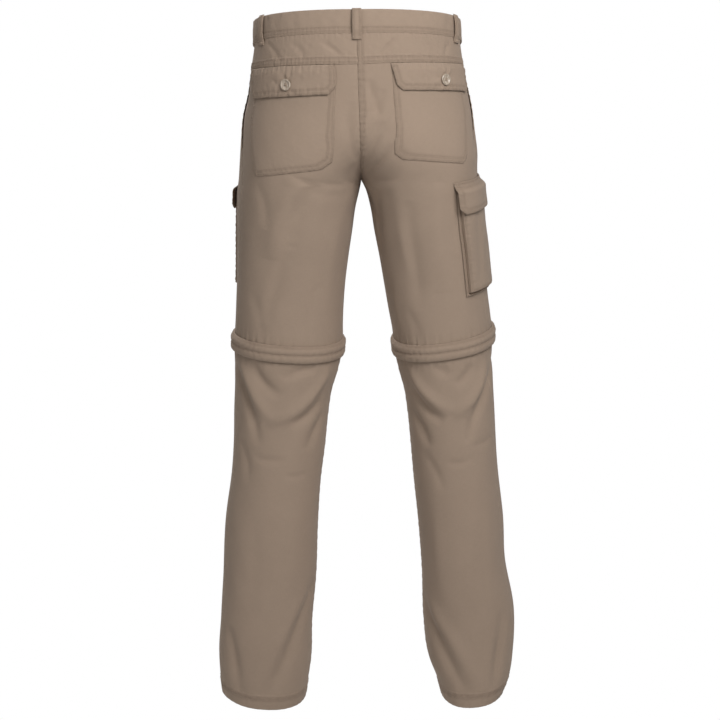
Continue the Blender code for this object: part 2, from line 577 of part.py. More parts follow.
def make_leg_pockets():
    """A bellows pocket on each thigh, open at its top under a flap."""
    panel_lines = BACK_R[:-1] + (SIDE_SEAM_R,) + FRONT_R[1:]
    for side in (LEFT, RIGHT):
        name = SIDE_NAMES[side]
        rear, front = CARGO_REAR_R[side], CARGO_FRONT_R[side]
        flange, step = CARGO_FLANGE / R_MM, CARGO_WALL_STEP / R_MM

        def stand(r, v):
            edge = np.minimum(np.abs(r) - rear, front - np.abs(r)) * R_MM
            edge = np.minimum(edge, CARGO_BOTTOM - v)
            climb = smooth_steps((edge - CARGO_FLANGE) / CARGO_WALL_STEP)
            return WALL + LAY_GAP + (CARGO_STAND - WALL - LAY_GAP) * climb

        def hang(r, v):
            ramp = smooth_steps((v - CARGO_FLAP_TOP - 3) / (CARGO_TOP - 4 - CARGO_FLAP_TOP))
            flare = CARGO_FLAP_FLARE * smooth_steps((v - CARGO_TOP) / (CARGO_FLAP_BOTTOM - CARGO_TOP))
            return DOUBLE_WALL + LAY_GAP + (CARGO_STAND + 0.2) * ramp + flare

        steps = (0, flange, flange + step)
        clear = flange + step + 0.01
        inner = [r for r in panel_lines if rear + clear < r < front - clear]
        r_lines = [rear + s for s in steps] + inner + [front - s for s in steps[::-1]]
        inner = [v for v in BACK_V if CARGO_TOP + 4 < v < CARGO_BOTTOM - CARGO_FLANGE - CARGO_WALL_STEP - 4]
        v_lines = [CARGO_TOP, *inner] + [CARGO_BOTTOM - s for s in (CARGO_FLANGE + CARGO_WALL_STEP, CARGO_FLANGE, 0)]
        cloth_piece(f"leg_pocket_{name}", flat_grid(sided(r_lines, side), v_lines), stand, WALL)

        slip = CARGO_FLAP_SLIP / R_MM
        flap = flat_grid(sided([rear - slip, *r_lines[2:-2], front + slip], side), CARGO_FLAP_V)
        middle = (0.5 * (rear + front), CARGO_FLAP_TOP)
        cuts = [
            corner_cut(side, (edge, CARGO_FLAP_BOTTOM), CARGO_CORNER_R, CARGO_CORNER_V, middle)
            for edge in (rear - slip, front + slip)
        ]
        cloth_piece(f"leg_flap_{name}", flap, hang, DOUBLE_WALL, cuts)


def make_zips():
    """Round each leg: the zip that parts it, its slider, and the cover that hides both."""
    for side in (LEFT, RIGHT):
        name = SIDE_NAMES[side]
        lines = sided(RING_R, side)

        heights, stands = zip(*COVER_PROFILE)
        cover = close_ring(flat_grid(lines, [COVER_TOP + h for h in heights]))
        cloth_piece(
            f"zip_cover_{name}",
            cover,
            lambda r, v: np.interp(v - COVER_TOP, heights, stands),
            DOUBLE_WALL,
        )

        middle = (UPPER_LEG_END + LOWER_LEG_TOP) / 2
        coil = (middle - ZIP_COIL_HALF, middle + ZIP_COIL_HALF)
        v_lines = (UPPER_LEG_END + SEAM_GAP, *coil, LOWER_LEG_TOP - SEAM_GAP)
        tape = close_ring(flat_grid(lines, v_lines))
        cloth_piece(
            f"leg_zip_{name}",
            tape,
            lambda r, v: np.where(np.abs(v - middle) < ZIP_COIL_HALF + 0.1, ZIP_COIL_RISE, 0.0),
            ZIP_TAPE,
            material="tape",
        )
        across, down, thick = SLIDER_SIZE
        stand = ZIP_COIL_RISE + SEAM_GAP + thick / 2
        slider = box_piece(f"leg_zip_slider_{name}", (across, down, thick), "metal", bevel=0.4)
        set_on_sheet(slider, side * SLIDER_R, middle, stand)


def set_on_sheet(obj, r, v, stand_off):
    """Places a piece with its own +Z along the outward direction at (r, v)."""
    place = Vector(on_sheet([r], [v], stand_off)[0]) * MM
    outward = (Vector(on_sheet([r], [v], stand_off + 5.0)[0]) * MM - place).normalized()
    obj.location = place
    obj.rotation_mode = "QUATERNION"
    obj.rotation_quaternion = outward.to_track_quat("Z", "Y")


def box_piece(name, size, material, bevel):
    flat = bmesh.new()
    bmesh.ops.create_cube(flat, size=1.0)
    bmesh.ops.scale(flat, vec=Vector(size) * MM, verts=flat.verts[:])
    mesh = bpy.data.meshes.new(name)
    flat.to_mesh(mesh)
    flat.free()
    obj = add_piece(name, mesh, material)
    rounding = obj.modifiers.new("edges", "BEVEL")
    rounding.width = bevel * MM
    rounding.segments = 1
    return obj


def waistband_stand(r, v):
    """The waistband's right end ramps in to lie under its left end, which laps over it at the centre front."""
    past_front = (-2 - r) * R_MM
    under = smooth_steps((past_front + BAND_LAP + BAND_RAMP) / BAND_RAMP)
    return BAND_RISE - (BAND_WALL + SEAM_GAP) * under


def make_waistband():
    """One band all round, from the end under the left front to the end that laps over the right front."""
    right_end = -2 - BAND_UNDERLAP / R_MM
    left_end = 2 + BAND_LAP / R_MM
    ramp = -2 + (BAND_LAP + BAND_RAMP / 2) / R_MM
    front = (1.0, 1.13, 1.26, 1.40, 1.54, 1.68, 1.80, 1.89)
    back = (0.12, 0.24, 0.36, 0.48, 0.61, 0.74, SIDE_SEAM_R)
    half = back + front
    r_lines = [right_end, -2.05, -2 + BAND_LAP / R_MM, ramp, *(-r for r in half[-2::-1]), 0.0, *half, 1.955, left_end]
    band = flat_grid(r_lines, (0.0, 17.5, WAISTBAND_DEPTH - 0.15))
    cloth_piece("waistband", band, waistband_stand, BAND_WALL)


def make_fly():
    """The fly facing lies along the left front, laps over the right front and is rounded at its bottom."""
    outer = 2 - FLY_WIDTH / R_MM
    r_lines = [outer, *(r for r in FRONT_R if outer < r < 1.99), 2.0, 2 + FLY_LAP_R]
    v_lines = [WAISTBAND_DEPTH + 0.3, *(v for v in FRONT_V[1:] if v < FLY_BOTTOM), FLY_BOTTOM]
    fly = flat_grid(r_lines, v_lines)
    corner = (2 - FLY_WIDTH / R_MM, FLY_BOTTOM)
    middle = (2 - 0.5 * FLY_WIDTH / R_MM, WAISTBAND_DEPTH)
    cuts = []
    for turn in (15, 45, 75):
        # Each cut is a tangent of the rounded corner, a quarter of an ellipse.
        a = math.radians(turn)
        touch = np.array([(1 - math.cos(a)) * FLY_ROUND, (1 - math.sin(a)) * FLY_ROUND_TALL])
        along = np.array([math.sin(a) * FLY_ROUND, -math.cos(a) * FLY_ROUND_TALL])
        ends = [(corner[0] + p[0] / R_MM, corner[1] - p[1]) for p in (touch - along, touch + along)]
        cuts.append((*ends, middle))
    cloth_piece("fly", fly, DOUBLE_WALL + LAY_GAP, DOUBLE_WALL, cuts)


def make_belt_loops():
    """Each loop is LOOP_WIDTH wide where it lies, and its ends are sewn down above and below the waistband."""
    heights, stands = zip(*LOOP_PROFILE)
    for name, r in LOOP_PLACES.items():
        step = 0.5 * LOOP_WIDTH / R_MM
        ends = on_sheet([r - step, r + step], [WAISTBAND_DEPTH / 2] * 2)
        half = step * LOOP_WIDTH / np.linalg.norm(ends[1] - ends[0])
        strip = flat_grid((r - half, r, r + half), heights)
        lap = 0.0 if r else LAP_RISE
        cloth_piece(name, strip, lambda _, v: LOOP_WALL + lap + np.interp(v, heights, stands), LOOP_WALL)


def make_buttons():
    """A dished disc with a raised rim, turned about its own Z."""
    rim = BUTTON_RADIUS - BUTTON_RIM
    profile = (
        (0.0, BUTTON_DISH), (rim - 1.0, BUTTON_DISH), (rim, BUTTON_THICK), (BUTTON_RADIUS - 0.7, BUTTON_THICK),
        (BUTTON_RADIUS, BUTTON_THICK - 0.9), (BUTTON_RADIUS - 0.5, 0.6), (BUTTON_RADIUS - 2.0, 0.0), (0.0, 0.0),
    )
    for name, (r, v, stand) in BUTTON_PLACES.items():
        turned = bmesh.new()
        verts = [turned.verts.new((x * MM, 0, z * MM)) for x, z in profile]
        for a, b in zip(verts, verts[1:]):
            turned.edges.new((a, b))
        mesh = bpy.data.meshes.new(name)
        turned.to_mesh(mesh)
        turned.free()
        button = add_piece(name, mesh, "button")
        screw = button.modifiers.new("turned", "SCREW")
        screw.steps = screw.render_steps = BUTTON_SIDES
        screw.use_merge_vertices = True
        screw.merge_threshold = 0.00001
        set_on_sheet(button, r, v, stand + SEAM_GAP)


def main():
    for obj in list(bpy.data.objects):
        bpy.data.objects.remove(obj)
    pieces = bpy.data.collections.new("zip_off_trousers")
    bpy.context.scene.collection.children.link(pieces)
    cloth_material("cloth", CLOTH_COLOUR)
    cloth_material("tape", TAPE_COLOUR)
    cloth_material("button", BUTTON_COLOUR, 0.35)
    cloth_material("metal", SLIDER_COLOUR, 0.4)
    make_upper_panels()
    make_lower_legs()
    make_waistband()
    make_fly()
    make_belt_loops()
    make_back_pockets()
    make_leg_pockets()
    make_zips()
    make_buttons()


main()
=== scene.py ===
"""The look of the convertible zip-off trousers: sewn cotton twill, thread, buttons and zips, in soft studio light.

The cloth is one smooth sheet, and every piece is cut from it, as in the CAD model. A place on the sheet is
(r, v). r runs round the body: 0 is the centre back, 1 the wearer's left side, -1 the right side, and 2 or -2 the
centre front. Below the crotch each leg is a ring of its own, with 0 and 2 (or -2) at its inseam.
v is the distance in mm below the top edge of the waistband.
A flat place is (r * R_MM, v), in mm, and a piece is cut and sewn there.
"""

import math

import bmesh
import bpy
import numpy as np
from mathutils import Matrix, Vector


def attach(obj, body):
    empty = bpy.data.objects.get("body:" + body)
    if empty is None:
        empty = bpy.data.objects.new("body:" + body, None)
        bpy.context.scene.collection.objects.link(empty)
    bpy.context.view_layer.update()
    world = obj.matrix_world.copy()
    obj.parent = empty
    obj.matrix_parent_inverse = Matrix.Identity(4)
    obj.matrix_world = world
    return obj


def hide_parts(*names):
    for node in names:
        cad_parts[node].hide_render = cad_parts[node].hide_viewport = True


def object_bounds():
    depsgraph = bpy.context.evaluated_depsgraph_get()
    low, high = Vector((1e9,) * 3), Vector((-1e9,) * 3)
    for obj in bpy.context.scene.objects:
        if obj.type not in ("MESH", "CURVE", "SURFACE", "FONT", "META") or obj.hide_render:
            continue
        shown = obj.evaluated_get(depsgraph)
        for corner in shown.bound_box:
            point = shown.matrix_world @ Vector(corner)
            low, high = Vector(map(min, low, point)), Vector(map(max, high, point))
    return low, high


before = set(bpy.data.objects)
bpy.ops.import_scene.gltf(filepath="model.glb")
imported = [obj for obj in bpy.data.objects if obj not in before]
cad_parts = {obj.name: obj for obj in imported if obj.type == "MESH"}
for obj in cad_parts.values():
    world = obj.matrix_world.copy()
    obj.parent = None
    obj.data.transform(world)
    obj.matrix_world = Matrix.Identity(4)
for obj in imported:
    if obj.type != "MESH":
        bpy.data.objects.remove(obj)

cad_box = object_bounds()

MM = 0.001
LEFT, RIGHT = 1, -1
SIDE_NAMES = {LEFT: "left", RIGHT: "right"}

# Cloth, in mm
WALL = 1.4
DOUBLE_WALL = 1.8
LAP_RISE = 1.0
SEAM_GAP = 0.02
# How far a panel's top runs up inside the seam above it, and its centre edge into the other side's
TUCK, CENTRE_TUCK = 2.0, 0.3
LAY_GAP = 0.6
R_MM = 245.0
# A folded cloth edge rounds over within EDGE_ROLL, and loses this share of its wall from each face
EDGE_ROLL, EDGE_THIN = 1.5, 0.36

# Heights on the sheet, in mm below the top edge
WAISTBAND_DEPTH = 35.0
YOKE_SEAM = 74.0
CROTCH = 235.0
COVER_TOP = 477.5
COVER_DEPTH = 26.0
UPPER_LEG_END = 485.0
LOWER_LEG_TOP = 497.0
HEM = 1066.0
HEM_STITCH = 1044.0

# Round the sheet
SIDE_SEAM_R = 0.86
CENTRE_BACK_LAP_MM = 7.0
YOKE_LAP_MM = 9.5

CENTRE_DRIFT = 7.0
CURVE_TOP = 120.0
CURVE_END = 0.35
BACK_POWER = 2.2
FRONT_POWER = 2.4

# Each row is a ring of the sheet, as in the CAD model
RING_COLUMNS = ("v", "outer", "inner", "front", "back", "middle", "tilt", "rise", "sink")
RINGS = {
    LEFT: (
        (0, 155, 0, 100, 107, 0, 0.20, 0.000, 0.0),
        (35, 157, 0, 104, 114, 0, 0.19, 0.000, 0.0),
        (74, 164, 0, 107, 120, 0, 0.14, 0.000, 0.0),
        (105, 168, 0, 109, 123, 0, 0.09, 0.000, 0.0),
        (140, 177, 0, 110, 126, 1, 0.05, 0.000, 0.0),
        (175, 182, 0, 109, 127, 3, 0.02, 0.000, 0.0),
        (210, 185, 0, 106, 125, 5, 0.00, 0.000, 0.0),
        (235, 187, 0, 102, 120, 7, 0.00, 0.004, 0.2),
        (250, 189, 3, 100, 117, 8, 0.00, 0.008, 0.8),
        (275, 190, 9, 98, 112, 8, -0.01, 0.016, 1.6),
        (310, 191, 14, 96, 106, 7, -0.02, 0.026, 2.8),
        (350, 192, 20, 93, 98, 5, -0.03, 0.038, 4.2),
        (390, 193, 25, 90, 92, 3, -0.04, 0.048, 5.4),
        (430, 195, 28, 88, 88, 2, -0.045, 0.058, 6.6),
        (478, 197, 30, 84, 85, 0, -0.045, 0.066, 7.5),
        (504, 198, 32, 83, 83, 0, -0.045, 0.067, 7.8),
        (526, 198, 36, 82, 82, 0, -0.045, 0.068, 8.0),
        (560, 198, 46, 80, 80, 0, -0.045, 0.069, 8.3),
        (600, 200, 52, 78, 79, 0, -0.045, 0.070, 8.8),
        (650, 201, 57, 75, 79, 1, -0.05, 0.072, 9.3),
        (705, 205, 64, 72, 80, 3, -0.05, 0.075, 10.0),
        (780, 215, 69, 68, 81, 5, -0.05, 0.080, 11.0),
        (860, 220, 72, 66, 80, 6, -0.05, 0.084, 11.6),
        (940, 226, 79, 68, 78, 5, -0.055, 0.087, 12.2),
        (1005, 230, 81, 72, 78, 3, -0.06, 0.090, 12.6),
        (1040, 228, 86, 74, 79, 2, -0.06, 0.090, 12.7),
        (1066, 225, 90, 75, 79, 2, -0.06, 0.090, 12.7),
    ),
    RIGHT: (
        (0, 156, 0, 100, 107, 0, 0.20, 0.015, 0.0),
        (35, 158, 0, 104, 114, 0, 0.19, 0.030, 0.0),
        (74, 162, 0, 107, 120, 0, 0.14, 0.050, 0.0),
        (105, 165, 0, 109, 123, 0, 0.09, 0.070, 0.0),
        (140, 170, 0, 110, 126, 1, 0.05, 0.080, 0.0),
        (175, 174, 0, 109, 127, 3, 0.02, 0.080, 0.0),
        (210, 178, 0, 106, 125, 5, 0.00, 0.080, 0.0),
        (235, 178, 0, 102, 120, 7, 0.00, 0.085, 0.2),
        (250, 179, 7, 100, 117, 8, 0.00, 0.088, 1.0),
        (275, 180, 14, 98, 112, 8, -0.01, 0.093, 2.2),
        (310, 183, 20, 97, 106, 7, -0.02, 0.102, 4.2),
        (350, 188, 28, 95, 100, 5, -0.03, 0.112, 6.2),
        (390, 192, 35, 93, 95, 3, -0.04, 0.122, 8.0),
        (430, 196, 42, 91, 92, 2, -0.045, 0.131, 9.8),
        (478, 202, 51, 88, 89, 0, -0.05, 0.138, 11.6),
        (504, 203, 54, 87, 88, 0, -0.05, 0.138, 11.8),
        (526, 204, 58, 86, 86, 0, -0.05, 0.137, 12.0),
        (560, 206, 67, 84, 85, 0, -0.05, 0.134, 12.0),
        (600, 209, 73, 81, 84, 0, -0.05, 0.130, 12.0),
        (650, 212, 78, 78, 84, 1, -0.05, 0.127, 12.0),
        (705, 216, 83, 75, 84, 3, -0.05, 0.124, 12.0),
        (780, 225, 91, 70, 84, 5, -0.05, 0.120, 12.0),
        (860, 230, 97, 68, 83, 6, -0.05, 0.120, 12.0),
        (940, 245, 100, 70, 80, 5, -0.055, 0.120, 12.0),
        (1005, 244, 109, 76, 84, 3, -0.06, 0.120, 12.0),
        (1040, 240, 122, 80, 88, 2, -0.06, 0.120, 12.0),
        (1066, 231, 129, 82, 90, 2, -0.06, 0.120, 12.0),
    ),
}

# Each fold is a soft ridge (height above 0) or trough along a curve through three places, in mm
FOLD_COLUMNS = ("side", "r0", "v0", "r1", "v1", "r2", "v2", "height", "half_width")
# The largest, as in the CAD model
FOLDS = (
    (RIGHT, 0.03, 138, 0.08, 130, 0.12, 106, -2.2, 7),
    (RIGHT, 0.03, 192, 0.08, 180, 0.10, 148, -2.2, 8),
    (LEFT, 0.45, 225, 0.54, 262, 0.61, 345, 2.8, 14),
    (LEFT, 0.41, 222, 0.48, 272, 0.51, 330, -2.6, 11),
    (RIGHT, 0.20, 244, 0.15, 290, 0.12, 345, -3.0, 12),
    (RIGHT, 0.56, 240, 0.54, 308, 0.52, 400, 2.4, 15),
    (LEFT, 0.98, 520, 0.75, 566, 0.63, 638, -4.5, 10),
    (LEFT, 0.84, 506, 0.70, 552, 0.56, 596, 5.0, 11),
    (LEFT, 0.58, 598, 0.38, 574, 0.20, 514, 5.0, 11),
    (LEFT, 0.70, 508, 0.62, 538, 0.50, 556, -4.0, 9),
    (LEFT, 0.51, 530, 0.42, 517, 0.31, 514, -3.2, 9),
    (LEFT, 0.44, 600, 0.33, 590, 0.21, 566, -4.0, 9),
    (LEFT, 0.30, 645, 0.25, 620, 0.15, 588, -3.5, 11),
    (RIGHT, 0.25, 512, 0.32, 550, 0.50, 588, 5.0, 11),
    (RIGHT, 0.50, 592, 0.67, 566, 0.80, 520, 5.0, 11),
    (RIGHT, 1.06, 520, 0.72, 580, 0.59, 640, -4.5, 10),
    (RIGHT, 0.66, 518, 0.61, 535, 0.53, 546, -3.2, 9),
    (RIGHT, 0.43, 512, 0.47, 520, 0.51, 530, -2.6, 8),
    (RIGHT, 0.22, 548, 0.30, 576, 0.44, 598, -4.0, 9),
    (RIGHT, 0.15, 586, 0.25, 612, 0.31, 640, -3.5, 11),
    (LEFT, 0.10, 860, 0.30, 955, 0.47, 1050, -4.5, 13),
    (LEFT, 0.22, 870, 0.42, 960, 0.58, 1050, 3.0, 13),
    (LEFT, 0.78, 940, 0.70, 990, 0.66, 1045, -4.0, 12),
    (RIGHT, 0.04, 890, 0.28, 968, 0.42, 1048, -4.5, 13),
    (RIGHT, 0.16, 890, 0.40, 968, 0.54, 1048, 3.0, 13),
    (RIGHT, 0.74, 920, 0.70, 980, 0.64, 1040, -4.0, 12),
    (LEFT, 1.90, 214, 1.72, 226, 1.50, 212, -3.0, 11),
    (RIGHT, 1.90, 220, 1.74, 234, 1.52, 220, -3.0, 11),
    (LEFT, 1.76, 290, 1.80, 350, 1.76, 420, -2.8, 13),
    (RIGHT, 1.60, 300, 1.66, 365, 1.62, 430, -2.8, 14),
    (LEFT, 1.25, 520, 1.42, 560, 1.62, 566, -4.0, 11),
    (LEFT, 1.32, 600, 1.50, 622, 1.72, 606, 3.5, 13),
    (RIGHT, 1.22, 530, 1.40, 562, 1.60, 560, -4.0, 11),
    (RIGHT, 1.40, 590, 1.58, 618, 1.76, 596, 3.5, 13),
    (LEFT, 1.85, 880, 1.62, 965, 1.44, 1040, -4.0, 14),
    (RIGHT, 1.80, 900, 1.60, 975, 1.46, 1040, -4.0, 14),
)
# Smaller creases, which only the finished cloth has
CREASES = (
    # Yoke
    (LEFT, 0.19, 43, 0.13, 54, 0.07, 65, -1.5, 4.5),
    (RIGHT, 0.10, 72, 0.16, 54, 0.22, 42, -1.6, 4.5),
    (LEFT, 0.62, 42, 0.52, 56, 0.46, 72, -1.0, 5),
    (LEFT, 0.40, 44, 0.32, 56, 0.30, 70, -0.9, 4.5),
    (RIGHT, 0.38, 44, 0.46, 56, 0.50, 72, -1.0, 5),
    (RIGHT, 0.66, 44, 0.60, 54, 0.58, 70, -0.9, 4.5),
    # Seat, beside the centre back and under the pockets
    (RIGHT, 0.045, 92, 0.065, 115, 0.09, 142, -2.2, 6),
    (RIGHT, 0.065, 214, 0.14, 205, 0.185, 178, -2.0, 6),
    (RIGHT, 0.05, 236, 0.08, 262, 0.12, 292, -2.4, 9),
    (LEFT, 0.03, 120, 0.06, 160, 0.05, 200, -1.8, 7),
    (LEFT, 0.12, 240, 0.30, 250, 0.48, 236, -0.8, 8),
    (LEFT, 0.08, 230, 0.24, 236, 0.42, 228, -1.0, 7),
    (LEFT, 0.04, 205, 0.12, 218, 0.22, 244, -1.2, 6),
    (RIGHT, 0.06, 216, 0.20, 232, 0.36, 230, -1.0, 7),
    (LEFT, 0.72, 236, 0.66, 262, 0.64, 300, -1.2, 8),
    (RIGHT, 0.36, 240, 0.34, 300, 0.36, 380, 1.2, 11),
    # Thigh backs
    (LEFT, 0.50, 320, 0.56, 380, 0.62, 445, -2.2, 11),
    (RIGHT, 0.42, 262, 0.40, 340, 0.40, 425, -2.2, 12),
    (LEFT, 0.20, 260, 0.26, 330, 0.24, 420, 2.0, 14),
    (LEFT, 0.34, 380, 0.38, 430, 0.36, 470, -1.0, 10),
    (RIGHT, 0.30, 420, 0.34, 450, 0.33, 474, -1.0, 9),
    (LEFT, 0.72, 400, 0.66, 440, 0.64, 474, -1.0, 9),
    (RIGHT, 0.24, 372, 0.20, 420, 0.22, 470, 0.9, 10),
    # Knee backs
    (LEFT, 0.66, 655, 0.56, 660, 0.44, 654, -1.6, 6),
    (LEFT, 0.44, 680, 0.36, 684, 0.28, 678, -1.4, 6),
    (LEFT, 0.80, 640, 0.72, 668, 0.70, 700, -1.6, 9),
    (RIGHT, 0.60, 640, 0.70, 646, 0.82, 640, -1.6, 6),
    (RIGHT, 0.44, 664, 0.53, 668, 0.62, 662, -1.4, 6),
    (RIGHT, 0.24, 650, 0.34, 676, 0.40, 712, -1.6, 9),
    # Calves
    (LEFT, 0.30, 730, 0.36, 800, 0.34, 880, 1.2, 15),
    (LEFT, 0.62, 740, 0.58, 820, 0.60, 900, -1.2, 14),
    (RIGHT, 0.32, 740, 0.30, 820, 0.34, 900, 1.2, 15),
    (RIGHT, 0.64, 730, 0.60, 820, 0.62, 900, -1.2, 14),
)


def smooth_steps(x):
    """0 below 0, 1 above 1, and a smooth climb between."""
    x = np.clip(x, 0.0, 1.0)
    return x * x * (3 - 2 * x)


def curve_through(v, knots, values):
    """A smooth curve through the knots, which takes its slope at each from the neighbours."""
    knots, values = np.asarray(knots, float), np.asarray(values, float)
    slopes = np.gradient(values, knots)
    v = np.clip(v, knots[0], knots[-1])
    i = np.clip(np.searchsorted(knots, v, side="right") - 1, 0, len(knots) - 2)
    span = knots[i + 1] - knots[i]
    s = (v - knots[i]) / span
    rest = (2 * s**3 - 3 * s**2 + 1) * values[i] + (3 * s**2 - 2 * s**3) * values[i + 1]
    return rest + span * ((s**3 - 2 * s**2 + s) * slopes[i] + (s**3 - s**2) * slopes[i + 1])


def ring_values(side, v):
    """Every column of RINGS at height v, by name."""
    table = np.array(RINGS[side], float)
    return {name: curve_through(v, table[:, 0], table[:, i]) for i, name in enumerate(RING_COLUMNS) if i}


def path_places(path, x, y):
    """How far each flat place lies from a path, and its share of the way along it."""
    nearest = np.full(x.shape, np.inf)
    along = np.zeros(x.shape)
    steps = np.diff(path, axis=0)
    lengths = np.hypot(*steps.T)
    starts = np.concatenate([[0], np.cumsum(lengths)])
    for start, step, length, before in zip(path, steps, lengths, starts):
        share = np.clip(((x - start[0]) * step[0] + (y - start[1]) * step[1]) / length**2, 0, 1)
        gap = np.hypot(x - start[0] - share * step[0], y - start[1] - share * step[1])
        closer = gap < nearest
        nearest = np.where(closer, gap, nearest)
        along = np.where(closer, (before + share * length) / starts[-1], along)
    return nearest, along


# The finished cloth creases a little more sharply than the solids
FOLD_LIFT, FOLD_NARROW = 1.3, 0.88


def fold_height(side, r, v):
    """How far the folds and creases lift the cloth at a place, in mm."""
    lift = np.zeros(r.shape)
    x = np.abs(r) * R_MM
    for row in FOLDS + CREASES:
        fold = dict(zip(FOLD_COLUMNS, row))
        if fold["side"] != side:
            continue
        start, middle, end = (np.array([fold[f"r{i}"] * R_MM, fold[f"v{i}"]]) for i in range(3))
        control = 2 * middle - 0.5 * (start + end)
        s = np.linspace(0, 1, 13)[:, None]
        path = (1 - s) ** 2 * start + 2 * s * (1 - s) * control + s**2 * end
        low, high = path.min(0) - 3 * fold["half_width"], path.max(0) + 3 * fold["half_width"]
        near = (x > low[0]) & (x < high[0]) & (v > low[1]) & (v < high[1])
        if near.any():
            away, along = path_places(path, x[near], v[near])
            fade = np.sin(math.pi * along) ** 0.6
            wide = FOLD_NARROW * fold["half_width"]
            lift[near] += FOLD_LIFT * fold["height"] * fade * np.exp(-((away / wide) ** 2))
    return lift


def hang_unevenness(side, r, v):
    """The slow unevenness of cloth that hangs free, in mm. It dies out at the centre plane and the inseams."""
    x = np.abs(r) * R_MM
    free = np.clip(np.sin(math.pi * np.abs(r) / 2), 0, 1) ** 0.5 * smooth_steps((v - 60) / 120)
    slow = 0.55 * np.sin(x / 27 + v / 71 + 1.7 * side) + 0.40 * np.sin(x / 13.5 - v / 49 + 0.6 * side)
    return free * (slow + 0.22 * np.sin(x / 7.3 + v / 23 + 2.2 * side) * np.sin(v / 37 + x / 61))


def smooth_sheet(side, r, v):
    """The sheet before its folds, in mm."""
    t = 1 - np.abs(r)
    ring = ring_values(side, v)
    share = np.clip((v - CURVE_TOP) / (CROTCH - CURVE_TOP), 0, 1)
    overlap = share * share * (3 - 2 * share) - CURVE_END * share * share * (1 - share)
    half_width = (ring["outer"] - np.where(v > CROTCH, ring["inner"], 0)) / (1 + overlap)
    centre = ring["outer"] - half_width
    power = np.where(t < 0, FRONT_POWER, BACK_POWER)
    angle = np.abs(t) * np.arccos(-(overlap ** (power / 2)))
    x = centre + half_width * np.sign(np.cos(angle)) * np.abs(np.cos(angle)) ** (2 / power)
    reach = np.where(t < 0, -(ring["front"] + ring["middle"]), ring["back"] - ring["middle"])
    y = ring["middle"] + reach * np.abs(np.sin(angle)) ** (2 / power)
    z = -v - ring["sink"] + ring["tilt"] * y + ring["rise"] * x
    drift = CENTRE_DRIFT * smooth_steps(v / CROTCH)
    return np.stack([side * x - drift, y, z], -1)


def normal_of(shape, side, r, v):
    """The outward direction of a sheet function at each place."""
    step_r, step_v = 0.004, 1.0
    before, after = np.abs(r) - step_r, np.abs(r) + step_r
    leg = v > CROTCH
    before = np.where(before < 0, np.where(leg, before + 2, 0.0), before)
    after = np.where(after > 2, np.where(leg, after - 2, 2.0), after)
    across = shape(side, side * after, v) - shape(side, side * before, v)
    down = shape(side, r, v + step_v) - shape(side, r, v - step_v)
    found = side * np.cross(across, down)
    return found / np.linalg.norm(found, axis=-1, keepdims=True)


def folded_sheet(side, r, v):
    """The sheet with its folds."""
    lift = (fold_height(side, r, v) + hang_unevenness(side, r, v))[..., None]
    return smooth_sheet(side, r, v) + lift * normal_of(smooth_sheet, side, r, v)


def on_sheet(x, v):
    """Points of the sheet in mm and their outward directions, at flat places. x may pass the centre front."""
    r, v = np.broadcast_arrays(np.asarray(x, float) / R_MM, np.asarray(v, float))
    r = np.where(np.abs(r) > 2, (r + 2) % 4 - 2, r)
    points, outward = np.empty(r.shape + (3,)), np.empty(r.shape + (3,))
    for side in (LEFT, RIGHT):
        here = (r >= 0) if side == LEFT else (r < 0)
        if here.any():
            points[here] = folded_sheet(side, r[here], v[here])
            outward[here] = normal_of(folded_sheet, side, r[here], v[here])
    return points, outward


def ripple(along, wave, start=0.0):
    """Uneven little waves of about one height, from -1 to 1."""
    turn = 2 * math.pi * along / wave + start
    return 0.55 * np.sin(turn + 1.4 * np.sin(along / 37 + start)) + 0.45 * np.sin(1.63 * turn + 2 * start)


class Pucker:
    """Little waves beside a seam. path is in flat places. slant turns them aside, and reach is how far they run."""

    def __init__(self, path, height=0.45, reach=7.0, wave=11.0, slant=0.0):
        self.path = np.array(path, float)
        self.height, self.reach, self.wave, self.slant = height, reach, wave, slant
        self.length = np.hypot(*np.diff(self.path, axis=0).T).sum()

    def lift(self, x, y):
        low, high = self.path.min(0) - 3 * self.reach, self.path.max(0) + 3 * self.reach
        near = (x > low[0]) & (x < high[0]) & (y > low[1]) & (y < high[1])
        lift = np.zeros(x.shape)
        if near.any():
            away, share = path_places(self.path, x[near], y[near])
            waves = ripple(share * self.length + self.slant * away, self.wave, self.path[0, 0])
            lift[near] = self.height * waves * np.exp(-((away / self.reach) ** 2))
        return lift


